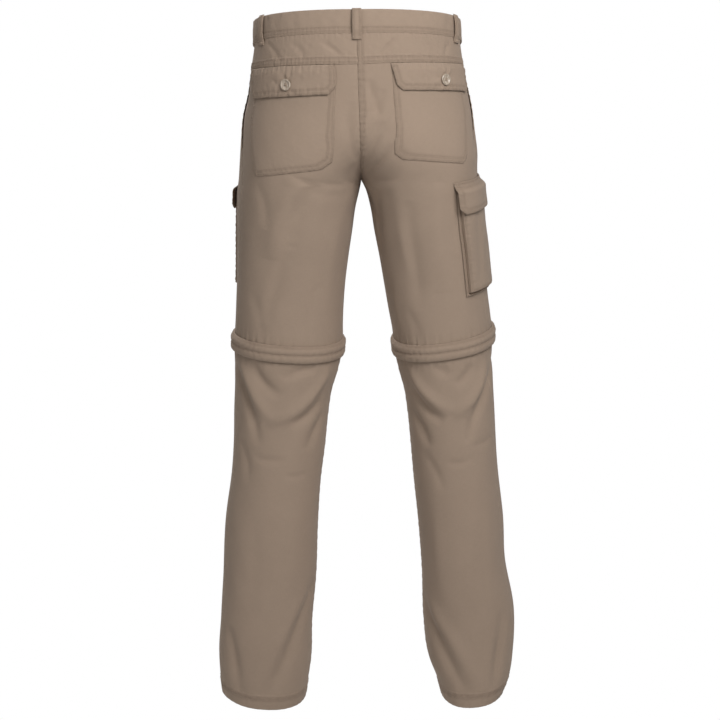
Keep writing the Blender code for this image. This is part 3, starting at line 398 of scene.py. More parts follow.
class Cloth:
    """A cut piece of cloth.

    outline: its corners in order, as flat places. height: how far its outer face stands off the sheet, as a
    function of (x, v), or a number. lap: where a seam allowance raises the outer face alone, from 0 to 1.
    ditches: paths where a seam pulls the cloth in. marks_x and marks_v: where close mesh lines are needed.
    slip: how far a place moves round the sheet, which lets an edge overhang. aside moves it off the centre."""

    def __init__(self, name, outline, height, wall=WALL, step=3.2, lap=None, puckers=(), ditches=(), marks_x=(),
                 marks_v=(), slip=None, aside=0.0, rough=0.0):
        self.name, self.wall, self.step, self.lap = name, wall, step, lap
        self.outline = np.array(outline, float)
        self.height = height if callable(height) else lambda x, v: np.full(x.shape, float(height))
        self.puckers, self.ditches = list(puckers), [np.array(path, float) for path in ditches]
        self.marks_x, self.marks_v = marks_x, marks_v
        self.slip, self.aside, self.rough = slip, aside, rough

    def edge_distance(self, x, y):
        return path_places(np.vstack([self.outline, self.outline[:1]]), x, y)[0]

    def ditch(self, x, y, width=1.3):
        """1 on a seam's path, and 0 away from it."""
        deep = np.zeros(x.shape)
        for path in self.ditches:
            low, high = path.min(0) - 4 * width, path.max(0) + 4 * width
            near = (x > low[0]) & (x < high[0]) & (y > low[1]) & (y < high[1])
            if near.any():
                deep[near] = np.maximum(deep[near], np.exp(-((path_places(path, x[near], y[near])[0] / width) ** 2)))
        return deep

    def faces(self, x, y):
        """Points on the outer and inner faces in mm, and the outward directions."""
        moved = x + self.slip(x, y) if self.slip else x
        points, outward = on_sheet(moved, y)
        points = points + (self.aside, 0, 0)
        lift = sum((pucker.lift(x, y) for pucker in self.puckers), np.zeros(x.shape))
        if self.rough:
            lift += self.rough * (ripple(x + 0.4 * y, 17.0) * ripple(y - 0.3 * x, 23.0, 1.0))
        height = self.height(x, y) + lift
        inner = height - self.wall
        outer = height + (LAP_RISE * self.lap(x, y) if self.lap else 0.0) - 0.35 * self.ditch(x, y)
        thin = 1 - np.sqrt(1 - (1 - np.clip(self.edge_distance(x, y) / EDGE_ROLL, 0, 1)) ** 2)
        roll = EDGE_THIN * self.wall * thin
        return points + outward * (outer - roll)[:, None], points + outward * (inner + roll)[:, None], outward


def cad_name(side, name):
    return f"{name}_{SIDE_NAMES[side]}"


def mesh_lines(start, end, step, marks):
    """Even lines from start to end, with close lines at both ends and at each mark."""
    close = [start, start + 0.5, start + EDGE_ROLL, end - EDGE_ROLL, end - 0.5, end]
    for mark in marks:
        close += [place for place in (mark - 1.1, mark, mark + 1.1) if start + EDGE_ROLL < place < end - EDGE_ROLL]
    close = np.array(sorted(close))
    close = close[np.concatenate([[True], np.diff(close) > 0.25])]
    even = np.linspace(start, end, max(2, round((end - start) / step) + 1))
    kept = [place for place in even if np.abs(close - place).min() > 0.45 * step]
    return np.array(sorted([*close, *kept]))


def trim(flat, start, end, keep):
    """Cuts a flat grid along the line from start to end, and keeps the side that holds keep."""
    p, q, kept = (Vector((*place, 0)) for place in (start, end, keep))
    across = Vector((q.y - p.y, p.x - q.x, 0))
    if across.dot(kept - p) > 0:
        across.negate()
    everything = flat.verts[:] + flat.edges[:] + flat.faces[:]
    bmesh.ops.bisect_plane(flat, geom=everything, dist=0.01, plane_co=p, plane_no=across, clear_outer=True)


def cut_flat(cloth):
    """The flat piece as a fine grid, cut to its outline."""
    low, high = cloth.outline.min(0), cloth.outline.max(0)
    x_lines = mesh_lines(low[0], high[0], cloth.step, cloth.marks_x)
    y_lines = mesh_lines(low[1], high[1], cloth.step, cloth.marks_v)
    columns, rows = len(x_lines) - 1, len(y_lines) - 1
    flat = bmesh.new()
    bmesh.ops.create_grid(flat, x_segments=columns, y_segments=rows, size=0.5)
    for vert in flat.verts:
        column, row = round((vert.co.x + 0.5) * columns), round((vert.co.y + 0.5) * rows)
        vert.co = (x_lines[column], y_lines[row], 0)
    middle = cloth.outline.mean(0)
    for start, end in zip(cloth.outline, np.roll(cloth.outline, -1, axis=0)):
        if np.abs(end - start).min() > 0.01:
            trim(flat, start, end, middle)
    bmesh.ops.remove_doubles(flat, verts=flat.verts[:], dist=0.25)
    return flat


def make_shell(cloth, node, material="cotton_twill"):
    """Makes the piece of cloth with its wall, which stands for one CAD node."""
    flat = cut_flat(cloth)
    outer = flat.verts[:]
    edges = [edge for edge in flat.edges if edge.is_boundary]
    places = np.array([vert.co[:2] for vert in outer])
    x, y = places.T
    outside, inside, _ = cloth.faces(x, y)
    copied = bmesh.ops.duplicate(flat, geom=outer + flat.edges[:] + flat.faces[:])["vert_map"]
    for edge in edges:
        start, end = edge.verts
        flat.faces.new((start, end, copied[end], copied[start]))
    for vert, out, into in zip(outer, outside, inside):
        vert.co = Vector(out) * MM
        copied[vert].co = Vector(into) * MM
    bmesh.ops.recalc_face_normals(flat, faces=flat.faces[:])
    if flat.calc_volume(signed=True) < 0:
        bmesh.ops.reverse_faces(flat, faces=flat.faces[:])
    flat.verts.index_update()
    order = np.array([vert.index for vert in outer] + [copied[vert].index for vert in outer])
    mesh = bpy.data.meshes.new(cloth.name)
    flat.to_mesh(mesh)
    flat.free()
    mesh.shade_smooth()
    worn = np.exp(-((cloth.edge_distance(x, y) / 1.6) ** 2))
    # The second value of sewn marks where painted shade darkens the cloth in the ditch beside a row of stitches.
    seam = np.maximum(cloth.ditch(x, y, 1.8), 0)
    flat_place, sewn = np.zeros((len(order), 3)), np.zeros((len(order), 3))
    flat_place[order, 0] = np.tile(x, 2) * MM
    flat_place[order, 1] = np.tile(y, 2) * MM
    sewn[order, 0] = np.concatenate([worn, np.zeros(len(x))])
    sewn[order, 1] = np.concatenate([seam, np.zeros(len(x))])
    add_places(mesh, "flat_place", flat_place)
    add_places(mesh, "sewn", sewn)
    piece = add_piece(cloth.name, mesh, material)
    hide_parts(node)
    return piece


def add_places(mesh, name, values):
    """Keeps a value of three numbers on each point, which a material reads by name."""
    kept = mesh.attributes.new(name, "FLOAT_VECTOR", "POINT")
    kept.data.foreach_set("vector", np.asarray(values, np.float32).ravel())


def add_piece(name, mesh, material):
    piece = bpy.data.objects.new(name, mesh)
    bpy.context.scene.collection.objects.link(piece)
    mesh.materials.append(bpy.data.materials[material])
    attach(piece, "root")
    return piece


# Sewing

STITCH_PITCH, STITCH_LENGTH, THREAD_RADIUS = 3.1, 2.4, 0.30
# Along a stitch: share of its length, height above the cloth in thread radii, and thickness in thread radii
STITCH_SHAPE = ((0.0, -1.0, 0.0), (0.16, 0.25, 0.9), (0.5, 0.7, 1.05), (0.84, 0.25, 0.9), (1.0, -1.0, 0.0))


class Sewing:
    """The stitches of one piece of cloth, gathered into one mesh."""

    def __init__(self, cloth):
        self.cloth, self.starts, self.ends, self.radii = cloth, [], [], []

    def add(self, starts, ends, radius=THREAD_RADIUS):
        self.starts.append(np.asarray(starts, float))
        self.ends.append(np.asarray(ends, float))
        self.radii.append(np.full(len(starts), radius))

    def row(self, path, pitch=STITCH_PITCH):
        """A row of lockstitches along a path of flat places."""
        path = np.array(path, float)
        lengths = np.hypot(*np.diff(path, axis=0).T)
        total = lengths.sum()
        if total < pitch:
            return
        knots = np.concatenate([[0], np.cumsum(lengths)])
        at = np.arange(0.4, total - STITCH_LENGTH, pitch)
        place = lambda s: np.stack([np.interp(s, knots, path[:, 0]), np.interp(s, knots, path[:, 1])], -1)
        self.add(place(at), place(at + STITCH_LENGTH))

    def bartack(self, x, v, turn=0.0, length=9.0, width=2.2, pitch=0.62):
        """Close stitches across a short bar, whose middle is a flat place. turn is in degrees from level."""
        along = np.array([math.cos(math.radians(turn)), math.sin(math.radians(turn))])
        across = np.array([-along[1], along[0]])
        at = np.arange(-length / 2, length / 2, pitch)[:, None]
        middle = np.array([x, v])
        lean = 0.5 * pitch * along
        self.add(middle + at * along - across * width / 2 - lean, middle + at * along + across * width / 2 + lean, 0.27)

    def finish(self, slot="cloth"):
        """Makes the mesh of all the stitches."""
        starts, ends, radii = (np.concatenate(parts) for parts in (self.starts, self.ends, self.radii))
        share = np.array([row[0] for row in STITCH_SHAPE])[None, :, None]
        places = starts[:, None] * (1 - share) + ends[:, None] * share
        count, rings = places.shape[:2]
        outside, _, outward = self.cloth.faces(places[..., 0].ravel(), places[..., 1].ravel())
        outside, outward = outside.reshape(count, rings, 3), outward.reshape(count, rings, 3)
        along = outside[:, -1:] - outside[:, :1]
        along = along / np.linalg.norm(along, axis=-1, keepdims=True)
        across = np.cross(outward, along)
        rise = np.array([row[1] for row in STITCH_SHAPE])[None, :, None] * radii[:, None, None]
        thick = np.array([row[2] for row in STITCH_SHAPE])[None, :, None] * radii[:, None, None]
        middle = outside + outward * rise
        turns = [math.radians(angle) for angle in (0, 72, 144, 216, 288)]
        sides = len(turns)
        around = [middle + thick * (across * math.cos(a) + outward * math.sin(a)) for a in turns]
        inner_rings = np.stack(around, 2)[:, 1:-1].reshape(count, -1, 3)
        points = np.concatenate([middle[:, :1], inner_rings, middle[:, -1:]], 1)
        per = points.shape[1]
        pattern = []
        for i in range(sides):
            j = (i + 1) % sides
            pattern.append((0, 1 + j, 1 + i, 1 + i))
            pattern.append((per - 1, per - 1 - sides + i, per - 1 - sides + j, per - 1 - sides + j))
            for k in range(rings - 3):
                a = 1 + k * sides
                pattern.append((a + i, a + j, a + sides + j, a + sides + i))
        pattern = [tuple(dict.fromkeys(face)) for face in pattern]
        faces = [tuple(s * per + corner for corner in face) for s in range(count) for face in pattern]
        mesh = bpy.data.meshes.new("stitches_" + self.cloth.name)
        mesh.from_pydata((points.reshape(-1, 3) * MM).tolist(), [], faces)
        mesh.shade_smooth()
        run = np.concatenate([np.zeros(1), np.repeat(np.array([row[0] for row in STITCH_SHAPE[1:-1]]), sides), np.ones(1)])
        flat_place = np.zeros((count, per, 3))
        flat_place[..., 0] = run[None] * STITCH_LENGTH * MM
        flat_place[..., 1] = starts[:, None, 0] * MM
        flat_place[..., 2] = starts[:, None, 1] * MM
        add_places(mesh, "flat_place", flat_place.reshape(-1, 3))
        return add_piece(mesh.name, mesh, "sewing_thread")


def inset_path(outline, distance, edges):
    """The path at a distance inside the given edges of an outline. Edge i runs from corner i to the next."""
    corners = np.array(outline, float)
    count, centre = len(corners), corners.mean(0)

    def moved_edge(i):
        start, end = corners[i % count], corners[(i + 1) % count]
        along = (end - start) / np.hypot(*(end - start))
        inward = np.array([-along[1], along[0]])
        inward = inward if inward @ (centre - start) > 0 else -inward
        return start + inward * (distance if i % count in edges else 0.6), along

    def meet(i, j):
        (a, u), (b, w) = moved_edge(i), moved_edge(j)
        turn = u[0] * w[1] - u[1] * w[0]
        return a + u * ((b - a)[0] * w[1] - (b - a)[1] * w[0]) / turn

    return [meet(i - 1, i) for i in edges] + [meet(edges[-1], edges[-1] + 1)]


def rectangle(x0, x1, y0, y1):
    return [(x0, y0), (x1, y0), (x1, y1), (x0, y1)]


# Back, yoke and seat

def centre_back_lap(bottom):
    """Where the right piece is raised along the centre back seam."""
    def lap(x, v):
        across = smooth_steps((CENTRE_BACK_LAP_MM - 0.2 - x) / 0.9)
        return across * smooth_steps((bottom - v) / 6)
    return lap


def yoke_lap(side):
    def lap(x, v):
        low = smooth_steps((v - (YOKE_SEAM - YOKE_LAP_MM - 1.0)) / 0.9)
        return np.maximum(low, centre_back_lap(999)(x, v)) if side == RIGHT else low
    return lap


def make_yoke_and_back(side):
    start, end = 0.5 * SEAM_GAP, SIDE_SEAM_R * R_MM - 0.5 * SEAM_GAP
    aside = -side * CENTRE_TUCK
    centre_rows = (1.2, 5.6) if side == RIGHT else ()
    seam_v = YOKE_SEAM
    yoke_rows = (YOKE_SEAM - 2.4, YOKE_SEAM - 7.8)
    yoke_box = rectangle(side * start, side * end, WAISTBAND_DEPTH - TUCK, seam_v)
    ditches = [[(side * x, WAISTBAND_DEPTH), (side * x, seam_v)] for x in centre_rows]
    ditches += [[(side * start, v), (side * end, v)] for v in yoke_rows]
    puckers = [
        Pucker([(side * start, YOKE_SEAM - 5), (side * end, YOKE_SEAM - 5)], 0.5, 7, 6.5),
        Pucker([(side * start, WAISTBAND_DEPTH), (side * end, WAISTBAND_DEPTH)], 0.4, 6, 8),
    ]
    centre_marks = [side * x for x in (*centre_rows, CENTRE_BACK_LAP_MM)]
    yoke = Cloth(
        "cotton_" + cad_name(side, "yoke"), yoke_box, 0, step=1.6, rough=0.35, lap=lambda x, v: yoke_lap(side)(np.abs(x), v),
        puckers=puckers, ditches=ditches, marks_x=centre_marks,
        marks_v=(*yoke_rows, YOKE_SEAM - YOKE_LAP_MM), aside=aside,
    )
    make_shell(yoke, cad_name(side, "yoke"))
    sewing = Sewing(yoke)
    for v in yoke_rows:
        sewing.row([(side * (start + 1), v), (side * (end - 1), v)])
    for x in centre_rows:
        sewing.row([(side * x, WAISTBAND_DEPTH + 1), (side * x, seam_v - 0.5)])
    sewing.finish()

    crotch_v = CROTCH - 8
    ditches = [[(side * x, YOKE_SEAM), (side * x, crotch_v)] for x in centre_rows]
    puckers = [
        Pucker([(side * 3.5, YOKE_SEAM), (side * 3.5, crotch_v)], 1.0 if side == RIGHT else 0.4, 5, 9),
        Pucker([(side * start, YOKE_SEAM), (side * end, YOKE_SEAM)], 0.5, 6, 8),
        Pucker([(side * end, YOKE_SEAM), (side * end, UPPER_LEG_END)], 0.35, 7, 15),
        Pucker([(side * start, UPPER_LEG_END - 7), (side * end, UPPER_LEG_END - 7)], 0.9, 13, 12),
    ]
    back = Cloth(
        "cotton_" + cad_name(side, "back"), rectangle(side * start, side * end, YOKE_SEAM - TUCK, UPPER_LEG_END), 0,
        step=2.4,
        lap=(lambda x, v: centre_back_lap(crotch_v + 4)(np.abs(x), v)) if side == RIGHT else None,
        puckers=puckers, ditches=ditches, marks_x=centre_marks, aside=aside,
    )
    make_shell(back, cad_name(side, "back"))
    if centre_rows:
        sewing = Sewing(back)
        for x in centre_rows:
            sewing.row([(side * x, YOKE_SEAM + 1), (side * x, crotch_v)])
        sewing.finish()


# Front with its slant pocket

MOUTH_TOP = (1.13, WAISTBAND_DEPTH)
MOUTH_END = (SIDE_SEAM_R, 192.0)
MOUTH_UNDERLAP = 12.0
MOUTH_GAPE, MOUTH_GAPE_REACH = 1.0, 26.0
MOUTH_ROWS = (1.8, 7.8)


def mouth_gape(x, v):
    """The front stands a little away along the pocket's mouth, most at its middle."""
    top = np.array([MOUTH_TOP[0] * R_MM, MOUTH_TOP[1]])
    run = np.array([MOUTH_END[0] * R_MM, MOUTH_END[1]]) - top
    across, down = np.abs(x) - top[0], v - top[1]
    away = (across * run[1] - down * run[0]) / np.hypot(*run)
    along = (across * run[0] + down * run[1]) / (run @ run)
    inside = (along > 0) & (along < 1) & (away > -1)
    bow = np.sin(math.pi * np.clip(along, 0, 1)) * (1 - smooth_steps(away / MOUTH_GAPE_REACH))
    return np.where(inside, MOUTH_GAPE * bow, 0.0)


def make_front(side):
    start, end = SIDE_SEAM_R * R_MM + 0.5 * SEAM_GAP, 2 * R_MM - 0.5 * SEAM_GAP
    mouth_x, top = MOUTH_TOP[0] * R_MM, WAISTBAND_DEPTH - TUCK
    outline = [
        (side * mouth_x, top), (side * end, top), (side * end, UPPER_LEG_END), (side * start, UPPER_LEG_END),
        (side * start, MOUTH_END[1]),
    ]
    mouth = [(side * mouth_x, top), (side * start, MOUTH_END[1])]
    puckers = [
        Pucker(mouth, 0.45, 8, 12),
        Pucker([(side * mouth_x, top), (side * end, top)], 0.4, 7, 13),
        Pucker([(side * start, MOUTH_END[1]), (side * start, UPPER_LEG_END)], 0.35, 7, 15),
        Pucker([(side * start, UPPER_LEG_END - 7), (side * end, UPPER_LEG_END - 7)], 0.9, 13, 12),
        Pucker([(side * (end - 3), 120), (side * (end - 3), CROTCH)], 0.5, 9, 12),
    ]
    front = Cloth(
        "cotton_" + cad_name(side, "front"), outline, mouth_gape, puckers=puckers,
        aside=-side * CENTRE_TUCK, ditches=[inset_path(outline, away, [4]) for away in MOUTH_ROWS],
    )
    make_shell(front, cad_name(side, "front"))
    sewing = Sewing(front)
    for away in MOUTH_ROWS:
        sewing.row(inset_path(outline, away, [4]))
    sewing.bartack(side * (mouth_x + 5), top + 5, 90 + side * 26, 8)
    sewing.bartack(side * (start + 6), MOUTH_END[1] - 5, side * 20, 9)
    sewing.finish()

    slip = MOUTH_UNDERLAP
    facing_outline = [(side * start, top), (side * (mouth_x + slip), top), (side * (start + 2), 220.0), (side * start, 220.0)]
    facing = Cloth("cotton_" + cad_name(side, "pocket_facing"), facing_outline, -WALL - LAY_GAP, step=2.6)
    make_shell(facing, cad_name(side, "pocket_facing"))


# Lower legs

HEM_ROWS = (HEM_STITCH + 1.8, HEM_STITCH + 6.4)
SHIN_TACK = {LEFT: (0.525, 956.0), RIGHT: (0.495, 954.0)}


def make_lower_leg(side):
    for panel, first, last, width in (("back", 0.0, SIDE_SEAM_R, 0.205), ("front", SIDE_SEAM_R, 2.0, 0.262)):
        start, end = side * (first * R_MM + 0.5 * SEAM_GAP), side * (last * R_MM - 0.5 * SEAM_GAP)
        name = cad_name(side, "lower_" + panel)
        puckers = [
            Pucker([(start, LOWER_LEG_TOP + 8), (end, LOWER_LEG_TOP + 8)], 1.0, 13, 11),
            Pucker([(start, HEM_STITCH + 3), (end, HEM_STITCH + 3)], 0.6, 9, 12, slant=0.8),
            Pucker([(start, HEM - 3), (end, HEM - 3)], 0.45, 6, 14, slant=0.8),
            Pucker([(start, LOWER_LEG_TOP), (start, HEM)], 0.4, 8, 16),
            Pucker([(end, LOWER_LEG_TOP), (end, HEM)], 0.4, 8, 16),
        ]
        leg = Cloth(
            "cotton_" + name, rectangle(start, end, LOWER_LEG_TOP, HEM), 0, step=3.6,
            lap=lambda x, v: smooth_steps((v - HEM_STITCH + 1.0) / 1.2), puckers=puckers,
            ditches=[[(start, v), (end, v)] for v in HEM_ROWS], marks_v=(HEM_STITCH - 0.4, *HEM_ROWS),
        )
        make_shell(leg, name)
        sewing = Sewing(leg)
        for v in HEM_ROWS:
            sewing.row([(start, v), (end, v)])
        if panel == "back":
            r, v = SHIN_TACK[side]
            sewing.bartack(side * r * R_MM, v, 0, 3.2, 1.8)
        sewing.finish()


# Waistband, fly and belt loops

BAND_LAP, BAND_UNDERLAP, BAND_RAMP = 7.0, 34.0, 26.0
BAND_WALL, BAND_RISE = 2.4, 0.8
BAND_ROWS = (27.3, 32.2)
BAND_MIDDLE = WAISTBAND_DEPTH / 2
FLY_LAP_R, FLY_WIDTH = 0.025, 38.0
FLY_BOTTOM, FLY_ROUND, FLY_ROUND_TALL = 188.0, 26.0, 41.6
LOOP_WIDTH, LOOP_WALL = 13.0, 1.6
LOOP_PLACES = {
    "belt_loop_centre_back": 0.0,
    "belt_loop_back_left": 0.69,
    "belt_loop_back_right": -0.74,
    "belt_loop_front_left": 1.50,
    "belt_loop_front_right": -1.50,
}
# Height on the sheet and how far a loop's inner face stands off it
LOOP_PROFILE = ((-1.5, 1.5), (4, 3.2), (11, 4.2), (19, 4.4), (26, 4.0), (31.5, 3.2), (37, 1.0), (43, LAY_GAP))
LOOP_ROW_INSET = 1.9


def waistband_stand(x, v):
    """The right end ramps in to lie under the left end, and the band swells a little between its seams."""
    past_front = -2 * R_MM - x
    under = smooth_steps((past_front + BAND_LAP + BAND_RAMP) / BAND_RAMP)
    swell = 0.5 * np.sin(math.pi * np.clip(v / BAND_ROWS[0], 0, 1))
    return BAND_RISE + swell - (BAND_WALL + SEAM_GAP + 0.5) * under


def make_waistband():
    right_end, left_end = -2 * R_MM - BAND_UNDERLAP, 2 * R_MM + BAND_LAP
    bottom = WAISTBAND_DEPTH
    puckers = [
        Pucker([(right_end, 30), (left_end, 30)], 0.4, 6, 7),
        Pucker([(right_end, 2), (left_end, 2)], 0.35, 9, 26),
        Pucker([(right_end, 15), (left_end, 15)], 0.35, 12, 31, slant=0.5),
    ]
    ditches = [[(right_end, v), (left_end, v)] for v in BAND_ROWS]
    band = Cloth(
        "cotton_waistband", rectangle(right_end, left_end, 0.0, bottom), waistband_stand, BAND_WALL, 1.8,
        puckers=puckers, ditches=ditches, marks_v=BAND_ROWS,
    )
    make_shell(band, "waistband")
    sewing = Sewing(band)
    for v in BAND_ROWS:
        sewing.row([(right_end + 2, v), (left_end - 2, v)])
    sewing.row([(left_end - 2.2, 1.5), (left_end - 2.2, BAND_ROWS[1])])
    sew_buttonhole(sewing, 1.955 * R_MM + 3, 17.5, 0, 22)
    sewing.finish()


def make_fly():
    outer, inner, top = (2 * R_MM - FLY_WIDTH), (2 + FLY_LAP_R) * R_MM, WAISTBAND_DEPTH + 0.3
    turns = [math.radians(angle) for angle in range(0, 91, 15)]
    round_corner = [
        (outer + FLY_ROUND * (1 - math.sin(a)), FLY_BOTTOM - FLY_ROUND_TALL * (1 - math.cos(a))) for a in turns
    ]
    outline = [(outer, top), (inner, top), (inner, FLY_BOTTOM), *round_corner]
    edge = list(range(3, len(outline)))
    fly = Cloth(
        "cotton_fly", outline, DOUBLE_WALL + LAY_GAP, DOUBLE_WALL, 2.0,
        puckers=[Pucker(inset_path(outline, 4, edge), 0.35, 6, 11), Pucker([(inner, top), (inner, FLY_BOTTOM)], 0.35, 6, 12)],
        ditches=[inset_path(outline, 1.8, edge), inset_path(outline, 7, edge)],
    )
    make_shell(fly, "fly")
    sewing = Sewing(fly)
    for away in (1.8, 7.0):
        sewing.row(inset_path(outline, away, edge))
    sewing.row([(inner - 2, top + 1), (inner - 2, FLY_BOTTOM - 4)])
    sewing.bartack(inner - 7, FLY_BOTTOM - 5, 0, 9)
    sewing.bartack(outer + 4.5, FLY_BOTTOM - 46, 0, 8)
    sewing.finish()


def make_belt_loops():
    heights, stands = zip(*LOOP_PROFILE)
    for name, r in LOOP_PLACES.items():
        middle, step = r * R_MM, LOOP_WIDTH / 2
        ends = on_sheet([middle - step, middle + step], [BAND_MIDDLE, BAND_MIDDLE])[0]
        half = step * LOOP_WIDTH / np.linalg.norm(ends[1] - ends[0])
        inset = LOOP_ROW_INSET * half / step
        lap = 0.0 if r else LAP_RISE

        def stand(x, v):
            crown = 0.35 * (1 - ((x - middle) / half) ** 2)
            return LOOP_WALL + lap + curve_through(v, heights, stands) + crown

        rows = [middle - half + inset, middle + half - inset]
        loop = Cloth(
            "cotton_" + name, rectangle(middle - half, middle + half, heights[0], heights[-1]), stand, LOOP_WALL, 1.2,
            puckers=[Pucker([(x, 0), (x, 42)], 0.18, 3, 6) for x in rows],
            ditches=[[(x, -1), (x, 42.5)] for x in rows], marks_x=rows,
        )
        make_shell(loop, name)
        sewing = Sewing(loop)
        for x in rows:
            sewing.row([(x, 0), (x, 42)], 2.7)
        for v in (1.6, 39.6):
            sewing.bartack(middle, v, 0, 1.75 * half, 2.4)
        sewing.finish()


# Back pockets and flaps

# Corners in order, inner top first, as (r, v)
POCKET_TOP, FLAP_TOP = 86.0, YOKE_SEAM + 0.5
BACK_POCKET = {
    LEFT: (
        (0.105, POCKET_TOP), (0.725, POCKET_TOP), (0.712, 216.0), (0.685, 223.0), (0.290, 210.0), (0.206, 199.5),
        (0.168, 184.0), (0.114, 150.0),
    ),
    RIGHT: (
        (0.176, POCKET_TOP), (0.745, POCKET_TOP), (0.715, 209.0), (0.690, 215.6), (0.286, 200.5), (0.224, 191.0),
        (0.193, 173.0), (0.172, 146.0),
    ),
}
BACK_FLAP = {
    LEFT: ((0.105, FLAP_TOP), (0.805, FLAP_TOP), (0.740, 111.0), (0.705, 116.0), (0.145, 111.0), (0.106, 100.5)),
    RIGHT: ((0.168, FLAP_TOP), (0.820, FLAP_TOP), (0.800, 112.0), (0.780, 116.0), (0.232, 109.5), (0.195, 101.5)),
}
FLAP_STAND_OFF, FLAP_RAMP = 2.6, 10.0
# The pocket's sewn edge sinks into the seat's cloth, so less than its wall stands out
POCKET_EDGE_STAND = 1.1
BUTTON_V = 98.0
BUTTON_R = {LEFT: 0.405, RIGHT: 0.532}
PAIR_ROWS = (1.7, 7.0)


def sheet_corners(side, corners):
    """Corners given as (r, v), as flat places on one side."""
    return [(side * r * R_MM, v) for r, v in corners]


def make_back_pocket(side):
    corners = BACK_POCKET[side]
    inner, outer, lowest = corners[0][0] * R_MM, corners[1][0] * R_MM, corners[4][1]
    outline = sheet_corners(side, corners)
    sewn_edges = list(range(1, len(corners)))

    def puff(x, v):
        """The pocket stands a little off the seat between its seams."""
        across = np.clip((np.abs(x) - inner) / (outer - inner), 0, 1)
        down = np.clip((v - POCKET_TOP - 20) / (lowest - POCKET_TOP - 20), 0, 1)
        return POCKET_EDGE_STAND + 1.6 * np.sin(math.pi * across) ** 0.7 * np.sin(math.pi * down) ** 0.8

    seam = inset_path(outline, 4, sewn_edges)
    pocket = Cloth(
        "cotton_" + cad_name(side, "back_pocket"), outline, puff, step=1.8,
        puckers=[Pucker(seam, 0.28, 8, 8)], ditches=[inset_path(outline, away, sewn_edges) for away in PAIR_ROWS],
        rough=0.15,
    )
    make_shell(pocket, cad_name(side, "back_pocket"))
    sewing = Sewing(pocket)
    for away in PAIR_ROWS:
        sewing.row(inset_path(outline, away, sewn_edges))
    sewing.finish()


def make_back_flap(side):
    corners = BACK_FLAP[side]
    inner, outer, top = corners[0][0] * R_MM, corners[1][0] * R_MM, FLAP_TOP
    outline = sheet_corners(side, corners)
    free_edges = list(range(1, len(corners)))
    button_x = side * BUTTON_R[side] * R_MM

    def hang(x, v):
        ramp = smooth_steps((v - top) / FLAP_RAMP)
        # The free edge curls up a little, and the button pulls the flap down round itself.
        curl = 1.2 * smooth_steps((v - top - 18) / 22) * (0.55 + 0.45 * np.cos((x - button_x) / 21))
        away = np.hypot(x - button_x, v - BUTTON_V)
        held = 0.7 * np.exp(-((away / 13) ** 2))
        turn = np.arctan2(v - BUTTON_V, x - button_x)
        rays = 0.55 * np.sin(7 * turn + 0.8 * np.sin(3 * turn)) * np.exp(-(((away - 20) / 14) ** 2))
        return DOUBLE_WALL + LAY_GAP + (FLAP_STAND_OFF - LAY_GAP) * ramp + ramp * (curl - held + rays * ramp)

    flap = Cloth(
        "cotton_" + cad_name(side, "back_flap"), outline, hang, DOUBLE_WALL, 1.5,
        puckers=[
            Pucker(inset_path(outline, 4, free_edges), 0.4, 7, 10),
            Pucker([(side * inner, top + 2), (side * outer, top + 2)], 0.45, 7, 9),
        ],
        ditches=[inset_path(outline, away, free_edges) for away in PAIR_ROWS], marks_v=(top + 3,), rough=0.4,
    )
    make_shell(flap, cad_name(side, "back_flap"))
    sewing = Sewing(flap)
    for away in PAIR_ROWS:
        sewing.row(inset_path(outline, away, free_edges))
    sew_buttonhole(sewing, button_x, BUTTON_V, 90, 21)
    for x in (inner + 6, outer - 8):
        sewing.bartack(side * x, top + 3.4, 0, 7)
    sewing.finish()
    return flap


def sew_buttonhole(sewing, x, v, turn, length):
    """Two satin columns beside a slit, with a bar at each end. turn is in degrees from level."""
    along = np.array([math.cos(math.radians(turn)), math.sin(math.radians(turn))])
    across = np.array([-along[1], along[0]])
    for away in (-1.05, 1.05):
        place = np.array([x, v]) + across * away
        sewing.bartack(*place, turn, length, 1.25, 0.55)
    for end in (-0.5, 0.5):
        place = np.array([x, v]) + along * length * end
        sewing.bartack(*place, turn + 90, 3.2, 1.4, 0.5)


# Leg pockets

CARGO_REAR_R = {LEFT: 1.08, RIGHT: 0.67}
CARGO_FRONT_R = {LEFT: 1.62, RIGHT: 1.28}
CARGO_FLAP_TOP, CARGO_TOP, CARGO_BOTTOM = 243.0, 259.0, 414.0
CARGO_FLAP_BOTTOM = 288.0
CARGO_FLANGE, CARGO_STAND, CARGO_WALL_STEP = 4.5, 8.6, 2.0
CARGO_FLAP_SLIP, CARGO_FLAP_FLARE = 3.0, 1.6
CARGO_CORNER, CARGO_CORNER_TALL = 8.6, 9.0
CARGO_CREASE_R = {LEFT: 1.24, RIGHT: 0.80}


